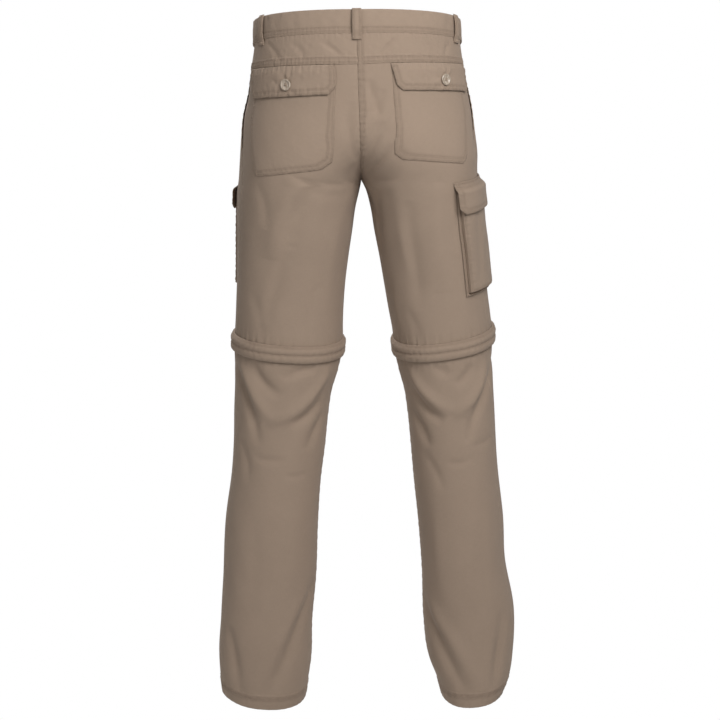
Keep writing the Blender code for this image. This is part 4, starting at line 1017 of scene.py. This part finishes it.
def make_leg_pocket(side):
    rear, front = CARGO_REAR_R[side] * R_MM, CARGO_FRONT_R[side] * R_MM

    def edge_of(x, v):
        return np.minimum(np.minimum(np.abs(x) - rear, front - np.abs(x)), CARGO_BOTTOM - v)

    def stand(x, v):
        edge = edge_of(x, v)
        climb = smooth_steps((edge - CARGO_FLANGE) / CARGO_WALL_STEP)
        # The flange is a stitched roll, with a narrow groove between it and the bellows.
        roll = 1.9 * np.exp(-(((edge - 1.9) / 1.5) ** 2)) - 0.5 * np.exp(-(((edge - CARGO_FLANGE) / 0.8) ** 2))
        sag = 0.9 * np.exp(-(((edge - 13) / 7) ** 2)) * np.sin(np.pi * np.clip((v - CARGO_TOP) / 155, 0, 1))
        crease = -1.5 * np.exp(-(((np.abs(x) - CARGO_CREASE_R[side] * R_MM + (v - 330) * 0.08) / 7) ** 2))
        crease = crease * smooth_steps((v - 275) / 25) * smooth_steps((CARGO_BOTTOM - 10 - v) / 25)
        return WALL + LAY_GAP + roll + (CARGO_STAND - WALL - LAY_GAP + sag + crease) * climb

    def overhang(x, v):
        """The bellows' edges lean out over the groove."""
        from_rear, from_front = np.abs(x) - rear, front - np.abs(x)
        lean = lambda edge: 1.7 * smooth_steps((edge - CARGO_FLANGE) / CARGO_WALL_STEP) * smooth_steps((26 - edge) / 18)
        return side * (lean(from_front) - lean(from_rear))

    step_marks = (CARGO_FLANGE - 1.0, CARGO_FLANGE + 0.4, CARGO_FLANGE + CARGO_WALL_STEP, 2.0, 8.6)
    marks_x = [side * (rear + m) for m in step_marks] + [side * (front - m) for m in step_marks]
    rim = CARGO_FLANGE + CARGO_WALL_STEP
    outline = rectangle(side * rear, side * front, CARGO_TOP, CARGO_BOTTOM)
    inner_box = rectangle(side * (rear + rim), side * (front - rim), CARGO_TOP, CARGO_BOTTOM - rim)
    rows = [inset_path(inner_box, 1.9, [1, 2, 3])]
    pocket = Cloth(
        "cotton_" + cad_name(side, "leg_pocket"), outline, stand, step=2.0, slip=overhang,
        puckers=[Pucker(inset_path(outline, 8, [1, 2, 3]), 0.45, 8, 11), Pucker(inset_path(outline, 2, [1, 2, 3]), 0.3, 3, 8)],
        ditches=rows + [inset_path(outline, 1.6, [1, 2, 3])], marks_x=marks_x,
        marks_v=[CARGO_BOTTOM - m for m in step_marks], rough=0.2,
    )
    make_shell(pocket, cad_name(side, "leg_pocket"))
    sewing = Sewing(pocket)
    for path in rows + [inset_path(outline, 1.6, [1, 2, 3])]:
        sewing.row(path)
    sewing.finish()


def make_leg_flap(side):
    rear = CARGO_REAR_R[side] * R_MM - CARGO_FLAP_SLIP
    front = CARGO_FRONT_R[side] * R_MM + CARGO_FLAP_SLIP
    bottom, tall = CARGO_FLAP_BOTTOM, CARGO_CORNER_TALL
    outline = [
        (side * rear, CARGO_FLAP_TOP), (side * front, CARGO_FLAP_TOP), (side * front, bottom - tall),
        (side * (front - CARGO_CORNER), bottom), (side * (rear + CARGO_CORNER), bottom), (side * rear, bottom - tall),
    ]
    free_edges = [1, 2, 3, 4, 5]

    def hang(x, v):
        ramp = smooth_steps((v - CARGO_FLAP_TOP - 3) / (CARGO_TOP - 4 - CARGO_FLAP_TOP))
        flare = CARGO_FLAP_FLARE * smooth_steps((v - CARGO_TOP) / (bottom - CARGO_TOP))
        wave = 0.6 * np.sin(x / 15.0) * smooth_steps((v - CARGO_TOP) / 20)
        return DOUBLE_WALL + LAY_GAP + (CARGO_STAND + 0.2) * ramp + flare + wave * ramp + 0.6 * ramp

    flap = Cloth(
        "cotton_" + cad_name(side, "leg_flap"), outline, hang, DOUBLE_WALL, 1.8,
        puckers=[
            Pucker(inset_path(outline, 4, free_edges), 0.4, 7, 10),
            Pucker([(side * rear, CARGO_FLAP_TOP + 3), (side * front, CARGO_FLAP_TOP + 3)], 0.5, 7, 10),
        ],
        ditches=[inset_path(outline, away, free_edges) for away in PAIR_ROWS]
        + [[(side * rear, v), (side * front, v)] for v in (CARGO_FLAP_TOP + 1.8, CARGO_FLAP_TOP + 7.4)],
        marks_v=(CARGO_FLAP_TOP + 1.8, CARGO_FLAP_TOP + 7.4),
    )
    make_shell(flap, cad_name(side, "leg_flap"))
    sewing = Sewing(flap)
    for away in PAIR_ROWS:
        sewing.row(inset_path(outline, away, free_edges))
    for v in (CARGO_FLAP_TOP + 1.8, CARGO_FLAP_TOP + 7.4):
        sewing.row([(side * (rear + 1), v), (side * (front - 1), v)])
    for x in (rear + 5, front - 5):
        sewing.bartack(side * x, CARGO_FLAP_TOP + 4.6, 90, 8)
    sewing.finish()


# Knee zips and their covers

# Distance below the cover's top edge and how far its outer face stands off the sheet: two soft rolls
COVER_PROFILE = (
    (0, 1.5), (2.2, 4.0), (6.5, 6.1), (10.5, 6.0), (13.3, 5.2), (16.0, 5.8), (20, 6.1), (23.5, 5.3), (COVER_DEPTH, 3.9),
)
COVER_ROWS = (1.9, 13.3)
ZIP_MIDDLE = (UPPER_LEG_END + LOWER_LEG_TOP) / 2
ZIP_TAPE, ZIP_COIL_RISE = 1.1, 0.7
ZIP_TOOTH_PITCH = 1.7
SLIDER_R = 1.12
SLIDER_SIZE = (8.5, 11.0, 1.6)


def make_zip_cover(side):
    start, end = side * 0.5 * SEAM_GAP, side * (2 * R_MM - 0.5 * SEAM_GAP)
    depths, stands = zip(*COVER_PROFILE)
    level = lambda v: [(start, COVER_TOP + v), (end, COVER_TOP + v)]
    cover = Cloth(
        "cotton_" + cad_name(side, "zip_cover"), rectangle(start, end, COVER_TOP, COVER_TOP + COVER_DEPTH),
        lambda x, v: curve_through(v - COVER_TOP, depths, stands), DOUBLE_WALL, 2.0,
        puckers=[
            Pucker(level(2), 0.55, 6, 8), Pucker(level(COVER_ROWS[1]), 0.6, 7, 9, slant=0.6),
            Pucker(level(COVER_DEPTH - 2), 0.5, 6, 12),
        ],
        ditches=[level(v) for v in COVER_ROWS], marks_v=[COVER_TOP + v for v in COVER_ROWS],
    )
    make_shell(cover, cad_name(side, "zip_cover"))
    sewing = Sewing(cover)
    for v in COVER_ROWS:
        sewing.row(level(v))
    sewing.finish()


def make_leg_zip(side):
    start, end = side * 0.5 * SEAM_GAP, side * (2 * R_MM - 0.5 * SEAM_GAP)
    tape = Cloth(
        "zip_tape_" + SIDE_NAMES[side], rectangle(start, end, UPPER_LEG_END + 0.2, LOWER_LEG_TOP - 0.2), 0.0, ZIP_TAPE, 2.6,
    )
    piece = make_shell(
        tape, cad_name(side, "leg_zip"), "zip_tape",
    )
    teeth = Sewing(tape)
    at = np.arange(min(start, end) + 1, max(start, end) - 1, ZIP_TOOTH_PITCH)
    for reach, first in ((-2.6, 0.0), (2.6, 0.5)):
        x = at + first * ZIP_TOOTH_PITCH
        teeth.add(np.stack([x, np.full(x.shape, ZIP_MIDDLE + reach)], -1), np.stack([x, np.full(x.shape, ZIP_MIDDLE - reach / 6)], -1), 0.55)
    coil = teeth.finish("zip_tape")
    coil.data.materials[0] = bpy.data.materials["zip_coil"]
    return piece


def make_slider(side):
    """A zip slider: a lacquered plate that narrows towards its lower end, a bridge over it, and a pull tab that hangs
    from the bridge.
    """
    across, down, thick = SLIDER_SIZE
    name = cad_name(side, "leg_zip_slider")
    place, outward = on_sheet([side * SLIDER_R * R_MM], [ZIP_MIDDLE])
    origin, up = Vector(place[0]), Vector(outward[0]).normalized()
    flat = bmesh.new()
    parts = (
        # Middle and size of each block: the plate, the bridge over it and the pull tab
        ((0, 0, ZIP_COIL_RISE + 0.3 + thick / 2), (across, down, thick)),
        ((0, 1.0, 2.9), (2.2, 6.0, 0.7)),
        ((0, -6.5, 3.3), (3.6, 10.0, 0.6)),
    )
    for middle, size in parts:
        made = bmesh.ops.create_cube(flat, size=1.0)["verts"]
        bmesh.ops.scale(flat, vec=Vector(size), verts=made)
        # A slider narrows towards its lower end.
        for vert in made:
            if vert.co.y < 0 and size[0] == across:
                vert.co.x *= 0.72
        bmesh.ops.translate(flat, vec=Vector(middle), verts=made)
    bmesh.ops.bevel(flat, geom=flat.edges[:], offset=0.28, segments=3, profile=0.6, affect="EDGES", clamp_overlap=True)
    turn = up.to_track_quat("Z", "Y").to_matrix()
    for vert in flat.verts:
        vert.co = (origin + turn @ vert.co) * MM
    mesh = bpy.data.meshes.new("slider_" + SIDE_NAMES[side])
    flat.to_mesh(mesh)
    flat.free()
    mesh.shade_smooth()
    piece = add_piece(mesh.name, mesh, "zip_lacquer")
    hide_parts(name)


# Buttons

BUTTON_RADIUS, BUTTON_THICK, BUTTON_RIM = 8.6, 3.0, 2.2
BUTTON_HOLE, BUTTON_HOLE_AWAY = 1.0, 1.75
BUTTON_PLACES = {
    "button_back_left": (BUTTON_R[LEFT], BUTTON_V, FLAP_STAND_OFF + DOUBLE_WALL),
    "button_back_right": (-BUTTON_R[RIGHT], BUTTON_V, FLAP_STAND_OFF + DOUBLE_WALL),
    "button_waist": (1.955, 17.5, BAND_RISE),
}


def make_button(name, place):
    """A turned button with a raised rim and four holes, sewn on with crossed thread."""
    r, v, stand = place
    point, outward = on_sheet([r * R_MM], [v])
    up = Vector(outward[0]).normalized()
    origin = Vector(point[0]) + up * (stand + 0.3)
    turn = up.to_track_quat("Z", "Y").to_matrix()
    rim = BUTTON_RADIUS - BUTTON_RIM
    profile = (
        (0.0, 1.75), (rim - 2.2, 1.8), (rim - 1.0, 2.0), (rim - 0.3, 2.65), (rim + 0.5, BUTTON_THICK),
        (BUTTON_RADIUS - 0.8, BUTTON_THICK - 0.05), (BUTTON_RADIUS - 0.15, BUTTON_THICK - 0.6), (BUTTON_RADIUS, 1.9),
        (BUTTON_RADIUS - 0.3, 1.1), (BUTTON_RADIUS - 1.4, 0.35), (BUTTON_RADIUS - 3.0, 0.0), (0.0, 0.0),
    )
    turned = bmesh.new()
    verts = [turned.verts.new((x, 0, z)) for x, z in profile]
    edges = [turned.edges.new(pair) for pair in zip(verts, verts[1:])]
    bmesh.ops.spin(turned, geom=verts + edges, cent=(0, 0, 0), axis=(0, 0, 1), angle=2 * math.pi, steps=48)
    bmesh.ops.remove_doubles(turned, verts=turned.verts[:], dist=0.005)
    bmesh.ops.recalc_face_normals(turned, faces=turned.faces[:])
    mesh = bpy.data.meshes.new("shirt_" + name)
    turned.to_mesh(mesh)
    turned.free()
    button = bpy.data.objects.new(mesh.name, mesh)
    bpy.context.scene.collection.objects.link(button)

    drill = bmesh.new()
    holes = [(BUTTON_HOLE_AWAY * math.cos(a), BUTTON_HOLE_AWAY * math.sin(a)) for a in np.radians((45, 135, 225, 315))]
    for x, y in holes:
        made = bmesh.ops.create_cone(drill, cap_ends=True, segments=14, radius1=BUTTON_HOLE, radius2=BUTTON_HOLE, depth=6)
        bmesh.ops.translate(drill, vec=(x, y, 1.0), verts=made["verts"])
    drill_mesh = bpy.data.meshes.new("drill")
    drill.to_mesh(drill_mesh)
    drill.free()
    driller = bpy.data.objects.new("drill", drill_mesh)
    bpy.context.scene.collection.objects.link(driller)
    cut = button.modifiers.new("holes", "BOOLEAN")
    cut.operation, cut.solver, cut.object = "DIFFERENCE", "EXACT", driller
    bpy.context.view_layer.update()
    bored = bpy.data.meshes.new_from_object(button.evaluated_get(bpy.context.evaluated_depsgraph_get()))
    bpy.data.objects.remove(button)
    bpy.data.objects.remove(driller)
    bored.name = "shirt_" + name
    places = np.array([vert.co for vert in bored.vertices])
    add_places(bored, "flat_place", places * MM + np.array([v, 0, 0]) * MM)
    for vert in bored.vertices:
        vert.co = (origin + turn @ vert.co) * MM
    bored.shade_smooth()
    bored.set_sharp_from_angle(angle=math.radians(50))
    piece = add_piece("shirt_" + name, bored, "pearl_button")
    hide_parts(name)

    knot = bpy.data.curves.new("thread_" + name, "CURVE")
    knot.dimensions = "3D"
    knot.bevel_depth, knot.bevel_resolution = 0.26 * MM, 2
    for first, last in ((0, 2), (1, 3)):
        a, b = Vector((*holes[first], 0)), Vector((*holes[last], 0))
        across = Vector((-(b - a).y, (b - a).x, 0)).normalized()
        for i in (-1, 0, 1):
            lift = 0.25 if first else 0.0
            route = [a + Vector((0, 0, -0.4)), a + Vector((0, 0, 2.0)), (a + b) / 2 + Vector((0, 0, 2.45 + lift)),
                     b + Vector((0, 0, 2.0)), b + Vector((0, 0, -0.4))]
            spline = knot.splines.new("BEZIER")
            spline.bezier_points.add(len(route) - 1)
            for bezier, at in zip(spline.bezier_points, route):
                bezier.co = (origin + turn @ (at + across * i * 0.42)) * MM
                bezier.handle_left_type = bezier.handle_right_type = "AUTO"
    knot.use_fill_caps = True
    thread = bpy.data.objects.new("thread_" + name, knot)
    bpy.context.scene.collection.objects.link(thread)
    knot.materials.append(bpy.data.materials["sewing_thread"])
    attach(thread, "root")


# Materials

COTTON = (0.335, 0.250, 0.187, 1.0)
COTTON_WORN = (0.43, 0.33, 0.25, 1.0)
# The seam colour below is painted shade, laid into the ditches beside rows of stitches.
COTTON_SEAM_SHADE = (0.185, 0.133, 0.096, 1.0)
THREAD_COLOUR = (0.355, 0.268, 0.20, 1.0)
PEARL, PEARL_DARK = (0.50, 0.42, 0.34, 1.0), (0.36, 0.29, 0.225, 1.0)
TAPE_COLOUR = (0.155, 0.115, 0.085, 1.0)
LACQUER = (0.11, 0.09, 0.072, 1.0)
# The wave texture turns 20 radians in one of its units
WAVE_TURN = 2 * math.pi / 20


class Wiring:
    """Adds nodes to a node tree. A value is set on its socket, and another node's output is linked to it."""

    def __init__(self, tree):
        self.tree = tree

    def add(self, kind, values=(), **settings):
        node = self.tree.nodes.new(kind)
        for name, setting in settings.items():
            setattr(node, name, setting)
        for name, value in dict(values).items():
            if isinstance(value, bpy.types.NodeSocket):
                self.tree.links.new(value, node.inputs[name])
            else:
                node.inputs[name].default_value = value
        return node

    def blend(self, share, a, b, kind="MIX"):
        """Mixes two colours."""
        node = self.add("ShaderNodeMix", data_type="RGBA", blend_type=kind)
        for socket, value in ((node.inputs[0], share), (node.inputs[6], a), (node.inputs[7], b)):
            if isinstance(value, bpy.types.NodeSocket):
                self.tree.links.new(value, socket)
            else:
                socket.default_value = value
        return node.outputs[2]

    def sum(self, kind, a, b=0.0):
        node = self.add("ShaderNodeMath", {0: a, 1: b}, operation=kind)
        return node.outputs[0]


def node_group(name, inputs, outputs):
    """A shader node group with named sockets. inputs: name, socket type and default."""
    group = bpy.data.node_groups.new(name, "ShaderNodeTree")
    for label, kind, value in inputs:
        socket = group.interface.new_socket(label, in_out="INPUT", socket_type=kind)
        if value is not None:
            socket.default_value = value
    for label, kind in outputs:
        group.interface.new_socket(label, in_out="OUTPUT", socket_type=kind)
    wiring = Wiring(group)
    return group, wiring, wiring.add("NodeGroupInput").outputs, wiring.add("NodeGroupOutput")


def twill_weave_group():
    """The diagonal ribs of twill and the yarns across them, as a height from 0 to 1."""
    sockets = (("Place", "NodeSocketVector", None), ("Rib", "NodeSocketFloat", 0.0009), ("Slant", "NodeSocketFloat", 0.9))
    group, wiring, given, out = node_group("twill_weave", sockets, (("Height", "NodeSocketFloat"), ("Yarn", "NodeSocketFloat")))
    scale = wiring.sum("DIVIDE", WAVE_TURN, given["Rib"])
    turned = wiring.add("ShaderNodeVectorRotate", {"Vector": given["Place"], "Angle": given["Slant"]}, rotation_type="Z_AXIS")
    ribs = wiring.add("ShaderNodeTexWave", {"Vector": turned.outputs[0], "Scale": scale, "Distortion": 0.6, "Detail": 1.0})
    fine = wiring.sum("MULTIPLY", scale, 1.9)
    yarns = wiring.add("ShaderNodeTexWave", {"Vector": given["Place"], "Scale": fine, "Distortion": 0.8, "Detail": 1.0})
    yarns.bands_direction = "Y"
    height = wiring.sum("MULTIPLY_ADD", yarns.outputs["Fac"], 0.35)
    wiring.tree.links.new(ribs.outputs["Fac"], height.node.inputs[2])
    wiring.tree.links.new(height, out.inputs["Height"])
    wiring.tree.links.new(yarns.outputs["Fac"], out.inputs["Yarn"])
    return group


def yarn_tone_group():
    """Uneven dye and slubs: a slow mottle, and short streaks along the warp and the weft."""
    sockets = (
        ("Place", "NodeSocketVector", None), ("Colour", "NodeSocketColor", (0.4, 0.3, 0.2, 1)),
        ("Mottle", "NodeSocketFloat", 0.08), ("Slub", "NodeSocketFloat", 0.12),
    )
    group, wiring, given, out = node_group("yarn_tone", sockets, (("Colour", "NodeSocketColor"), ("Slub", "NodeSocketFloat")))
    slow = wiring.add("ShaderNodeTexNoise", {"Vector": given["Place"], "Scale": 22.0, "Detail": 5.0, "Roughness": 0.55})
    streaks = []
    for stretch in ((1500.0, 130.0, 1.0), (110.0, 1300.0, 1.0)):
        drawn = wiring.add("ShaderNodeMapping", {"Vector": given["Place"], "Scale": stretch})
        streaks.append(wiring.add("ShaderNodeTexNoise", {"Vector": drawn.outputs[0], "Scale": 1.0, "Detail": 2.0}).outputs["Fac"])
    slub = wiring.sum("MULTIPLY", wiring.sum("ADD", *streaks), 0.5)
    tone = wiring.sum("MULTIPLY", wiring.sum("SUBTRACT", slow.outputs["Fac"], 0.5), given["Mottle"])
    slub_tone = wiring.sum("MULTIPLY", wiring.sum("SUBTRACT", slub, 0.5), given["Slub"])
    whole = wiring.sum("ADD", wiring.sum("ADD", tone, slub_tone), 1.0)
    shaded = wiring.add("ShaderNodeVectorMath", {0: given["Colour"]}, operation="SCALE")
    wiring.tree.links.new(whole, shaded.inputs["Scale"])
    wiring.tree.links.new(shaded.outputs[0], out.inputs["Colour"])
    wiring.tree.links.new(slub, out.inputs["Slub"])
    return group


def wear_and_seam_shade_group():
    """Folded edges rubbed lighter, and painted shade: a darker cloth colour in the ditch beside a row of stitches."""
    sockets = (
        ("Place", "NodeSocketVector", None), ("Colour", "NodeSocketColor", (0.4, 0.3, 0.2, 1)),
        ("Edge", "NodeSocketFloat", 0.0), ("Seam", "NodeSocketFloat", 0.0),
        ("Worn Colour", "NodeSocketColor", COTTON_WORN), ("Seam Colour", "NodeSocketColor", COTTON_SEAM_SHADE),
        ("Wear", "NodeSocketFloat", 0.4), ("Shade", "NodeSocketFloat", 0.35),
    )
    group, wiring, given, out = node_group("wear_and_seam_shade", sockets, (("Colour", "NodeSocketColor"), ("Mask", "NodeSocketFloat")))
    patchy = wiring.add("ShaderNodeTexNoise", {"Vector": given["Place"], "Scale": 260.0, "Detail": 3.0})
    broken = wiring.add("ShaderNodeMapRange", {"Value": patchy.outputs["Fac"], "From Min": 0.35, "From Max": 0.65})
    rubbed = wiring.sum("MULTIPLY", wiring.sum("MULTIPLY", given["Edge"], broken.outputs[0]), given["Wear"])
    lighter = wiring.blend(rubbed, given["Colour"], given["Worn Colour"])
    # Painted shade: the colour darkens towards the seam colour along the stitch ditches.
    shade = wiring.sum("MULTIPLY", given["Seam"], given["Shade"])
    wiring.tree.links.new(wiring.blend(shade, lighter, given["Seam Colour"]), out.inputs["Colour"])
    wiring.tree.links.new(rubbed, out.inputs["Mask"])
    return group


def new_material(name):
    material = bpy.data.materials.new(name)
    material.use_nodes = True
    material.node_tree.nodes.clear()
    wiring = Wiring(material.node_tree)
    shader = wiring.add("ShaderNodeBsdfPrincipled")
    out = wiring.add("ShaderNodeOutputMaterial")
    wiring.tree.links.new(shader.outputs[0], out.inputs[0])
    return wiring, shader


def use_group(wiring, name, values):
    node = wiring.add("ShaderNodeGroup", node_tree=bpy.data.node_groups[name])
    for label, value in values.items():
        if isinstance(value, bpy.types.NodeSocket):
            wiring.tree.links.new(value, node.inputs[label])
        else:
            node.inputs[label].default_value = value
    return node.outputs


def read_places(wiring, name):
    return wiring.add("ShaderNodeAttribute", attribute_name=name, attribute_type="GEOMETRY").outputs["Vector"]


def woven_material(name, colour, rib, mottle, slub, wear, shade, roughness, worn, dark):
    """Cloth: twill, uneven yarn, rubbed edges, and painted shade in the seam ditches and in the low parts of the weave.
    """
    wiring, shader = new_material(name)
    place = read_places(wiring, "flat_place")
    sewn = wiring.add("ShaderNodeSeparateXYZ", {0: read_places(wiring, "sewn")}).outputs
    weave = use_group(wiring, "twill_weave", {"Place": place, "Rib": rib})
    tone = use_group(wiring, "yarn_tone", {"Place": place, "Colour": colour, "Mottle": mottle, "Slub": slub})
    wear_and_shade_values = {"Place": place, "Colour": tone["Colour"], "Edge": sewn["X"], "Seam": sewn["Y"], "Wear": wear}
    # This group's colour holds the rubbed edges and the painted shade in the seam ditches.
    finish = use_group(wiring, "wear_and_seam_shade", wear_and_shade_values | {"Shade": shade, "Worn Colour": worn, "Seam Colour": dark})
    # Painted shade and light: the colour is darker in the low parts of the twill weave and lighter on its crowns.
    weave_valley_shade = wiring.add("ShaderNodeMapRange", {"Value": weave["Height"], "To Min": 0.86, "To Max": 1.06})
    coloured = wiring.add("ShaderNodeVectorMath", {0: finish["Colour"]}, operation="SCALE")
    wiring.tree.links.new(weave_valley_shade.outputs[0], coloured.inputs["Scale"])
    wiring.tree.links.new(coloured.outputs[0], shader.inputs["Base Color"])
    rough = wiring.add("ShaderNodeMapRange", {"Value": tone["Slub"], "To Min": roughness - 0.08, "To Max": roughness + 0.08})
    wiring.tree.links.new(rough.outputs[0], shader.inputs["Roughness"])
    raised = wiring.sum("MULTIPLY_ADD", tone["Slub"], 0.8)
    wiring.tree.links.new(weave["Height"], raised.node.inputs[2])
    bump = wiring.add("ShaderNodeBump", {"Strength": 0.55, "Distance": 0.00016, "Height": raised})
    wiring.tree.links.new(bump.outputs[0], shader.inputs["Normal"])
    shader.inputs["Specular IOR Level"].default_value = 0.25
    shader.inputs["Sheen Weight"].default_value = 0.06
    shader.inputs["Sheen Roughness"].default_value = 0.6


def thread_material():
    wiring, shader = new_material("sewing_thread")
    place = read_places(wiring, "flat_place")
    tone = use_group(wiring, "yarn_tone", {"Place": place, "Colour": THREAD_COLOUR, "Mottle": 0.12, "Slub": 0.2})
    wiring.tree.links.new(tone["Colour"], shader.inputs["Base Color"])
    weave = use_group(wiring, "twill_weave", {"Place": place, "Rib": 0.0005})
    bump = wiring.add("ShaderNodeBump", {"Strength": 0.5, "Distance": 0.0001, "Height": weave["Height"]})
    wiring.tree.links.new(bump.outputs[0], shader.inputs["Normal"])
    shader.inputs["Roughness"].default_value = 0.7
    shader.inputs["Specular IOR Level"].default_value = 0.35


def pearl_material():
    """Pearly plastic: soft clouds, fine growth lines and a glossy top."""
    wiring, shader = new_material("pearl_button")
    place = read_places(wiring, "flat_place")
    clouds = wiring.add("ShaderNodeTexNoise", {"Vector": place, "Scale": 190.0, "Detail": 4.0, "Distortion": 1.2})
    lines = wiring.add("ShaderNodeTexWave", {"Vector": place, "Scale": 60.0, "Distortion": 6.0, "Detail": 2.0, "Detail Scale": 2.0})
    share = wiring.sum("MULTIPLY", clouds.outputs["Fac"], lines.outputs["Fac"])
    spread = wiring.add("ShaderNodeMapRange", {"Value": share, "From Min": 0.05, "From Max": 0.5})
    wiring.tree.links.new(wiring.blend(spread.outputs[0], PEARL_DARK, PEARL), shader.inputs["Base Color"])
    rough = wiring.add("ShaderNodeMapRange", {"Value": clouds.outputs["Fac"], "To Min": 0.16, "To Max": 0.36})
    wiring.tree.links.new(rough.outputs[0], shader.inputs["Roughness"])
    bump = wiring.add("ShaderNodeBump", {"Strength": 0.12, "Distance": 0.0001, "Height": lines.outputs["Fac"]})
    wiring.tree.links.new(bump.outputs[0], shader.inputs["Normal"])
    shader.inputs["Coat Weight"].default_value = 0.35
    shader.inputs["Coat Roughness"].default_value = 0.12


def coil_material():
    wiring, shader = new_material("zip_coil")
    place = read_places(wiring, "flat_place")
    tone = use_group(wiring, "yarn_tone", {"Place": place, "Colour": (0.17, 0.13, 0.1, 1), "Mottle": 0.15, "Slub": 0.1})
    wiring.tree.links.new(tone["Colour"], shader.inputs["Base Color"])
    shader.inputs["Roughness"].default_value = 0.38


def lacquer_material():
    """Lacquered metal, rubbed in places."""
    wiring, shader = new_material("zip_lacquer")
    place = wiring.add("ShaderNodeTexCoord").outputs["Object"]
    worn = wiring.add("ShaderNodeTexNoise", {"Vector": place, "Scale": 900.0, "Detail": 4.0})
    bare = wiring.add("ShaderNodeMapRange", {"Value": worn.outputs["Fac"], "From Min": 0.56, "From Max": 0.66})
    wiring.tree.links.new(wiring.blend(bare.outputs[0], LACQUER, (0.42, 0.40, 0.37, 1)), shader.inputs["Base Color"])
    wiring.tree.links.new(bare.outputs[0], shader.inputs["Metallic"])
    rough = wiring.add("ShaderNodeMapRange", {"Value": worn.outputs["Fac"], "To Min": 0.28, "To Max": 0.5})
    wiring.tree.links.new(rough.outputs[0], shader.inputs["Roughness"])


def floor_material():
    """White to the camera, as the photograph's ground is, and a pale matte floor to the light."""
    wiring, shader = new_material("studio_floor")
    place = wiring.add("ShaderNodeTexCoord").outputs["Object"]
    grain = wiring.add("ShaderNodeTexNoise", {"Vector": place, "Scale": 3.0, "Detail": 2.0})
    tone = wiring.blend(grain.outputs["Fac"], (0.66, 0.66, 0.66, 1), (0.70, 0.70, 0.70, 1))
    wiring.tree.links.new(tone, shader.inputs["Base Color"])
    shader.inputs["Roughness"].default_value = 0.9
    out = shader.outputs[0].links[0].to_node
    seen = wiring.add("ShaderNodeLightPath").outputs["Is Camera Ray"]
    white = wiring.add("ShaderNodeEmission", {"Color": (1, 1, 1, 1), "Strength": 1.0})
    both = wiring.add("ShaderNodeMixShader", {0: seen, 1: shader.outputs[0], 2: white.outputs[0]})
    wiring.tree.links.new(both.outputs[0], out.inputs[0])


def make_materials():
    twill_weave_group()
    yarn_tone_group()
    wear_and_seam_shade_group()
    woven_material("cotton_twill", COTTON, 0.0009, 0.10, 0.30, 0.35, 0.40, 0.86, COTTON_WORN, COTTON_SEAM_SHADE)
    woven_material("zip_tape", TAPE_COLOUR, 0.0011, 0.08, 0.2, 0.2, 0.3, 0.8, (0.22, 0.17, 0.13, 1), (0.09, 0.07, 0.05, 1))
    thread_material()
    pearl_material()
    coil_material()
    lacquer_material()
    floor_material()


# Studio

FLOOR_DROP = 0.03
CAMERA_PLACE, CAMERA_AIM = Vector((-0.005, 2.8, 0.05)), Vector((-0.005, 0.0, -0.52))
# The lens that shows 1823 pixels a metre at a metre, on a picture 720 pixels wide
CAMERA_LENS = 36.0 * 1823 / 720
# Softboxes: name, place, size across and up, power in watts. Each faces the seat.
SOFTBOXES = (
    ("key", (-0.68, 1.5, 0.9), 1.0, 1.0, 34.0),
    ("fill", (1.4, 2.2, 0.5), 1.8, 1.8, 10.0),
    ("front_key", (0.68, -1.5, 0.9), 1.0, 1.0, 34.0),
    ("front_fill", (-1.4, -2.2, 0.5), 1.8, 1.8, 10.0),
)
LIGHT_AIM = (0.0, 0.0, -0.25)
WORLD_GLOW = 0.17


def aim(thing, place, target):
    thing.location = place
    thing.rotation_euler = (Vector(target) - Vector(place)).to_track_quat("-Z", "Y").to_euler()


def make_studio():
    low = cad_box[0]
    flat = bmesh.new()
    bmesh.ops.create_grid(flat, x_segments=8, y_segments=8, size=6.0)
    mesh = bpy.data.meshes.new("floor")
    flat.to_mesh(mesh)
    flat.free()
    floor = bpy.data.objects.new("floor", mesh)
    floor.location = (0, 0, low.z - FLOOR_DROP)
    bpy.context.scene.collection.objects.link(floor)
    mesh.materials.append(bpy.data.materials["studio_floor"])

    for name, place, wide, tall, power in SOFTBOXES:
        light = bpy.data.lights.new(name, "AREA")
        light.shape, light.size, light.size_y, light.energy = "RECTANGLE", wide, tall, power
        box = bpy.data.objects.new(name, light)
        bpy.context.scene.collection.objects.link(box)
        aim(box, place, LIGHT_AIM)

    world = bpy.data.worlds.new("studio")
    world.use_nodes = True
    bpy.context.scene.world = world
    wiring = Wiring(world.node_tree)
    world.node_tree.nodes.clear()
    seen = wiring.add("ShaderNodeLightPath").outputs["Is Camera Ray"]
    room = wiring.add("ShaderNodeBackground", {"Color": (1, 1, 1, 1), "Strength": WORLD_GLOW})
    backdrop = wiring.add("ShaderNodeBackground", {"Color": (1, 1, 1, 1), "Strength": 1.0})
    both = wiring.add("ShaderNodeMixShader", {0: seen, 1: room.outputs[0], 2: backdrop.outputs[0]})
    out = wiring.add("ShaderNodeOutputWorld")
    wiring.tree.links.new(both.outputs[0], out.inputs[0])

    camera_data = bpy.data.cameras.new("camera")
    camera_data.lens, camera_data.sensor_width = CAMERA_LENS, 36.0
    camera = bpy.data.objects.new("camera", camera_data)
    bpy.context.scene.collection.objects.link(camera)
    aim(camera, CAMERA_PLACE, CAMERA_AIM)
    bpy.context.scene.camera = camera
    bpy.context.scene.view_settings.view_transform = "Standard"


make_materials()
make_studio()
for side in (LEFT, RIGHT):
    make_yoke_and_back(side)
    make_front(side)
    make_lower_leg(side)
    make_back_pocket(side)
    make_back_flap(side)
    make_leg_pocket(side)
    make_leg_flap(side)
    make_zip_cover(side)
    make_leg_zip(side)
    make_slider(side)
make_waistband()
make_fly()
make_belt_loops()
for name, place in BUTTON_PLACES.items():
    make_button(name, place)
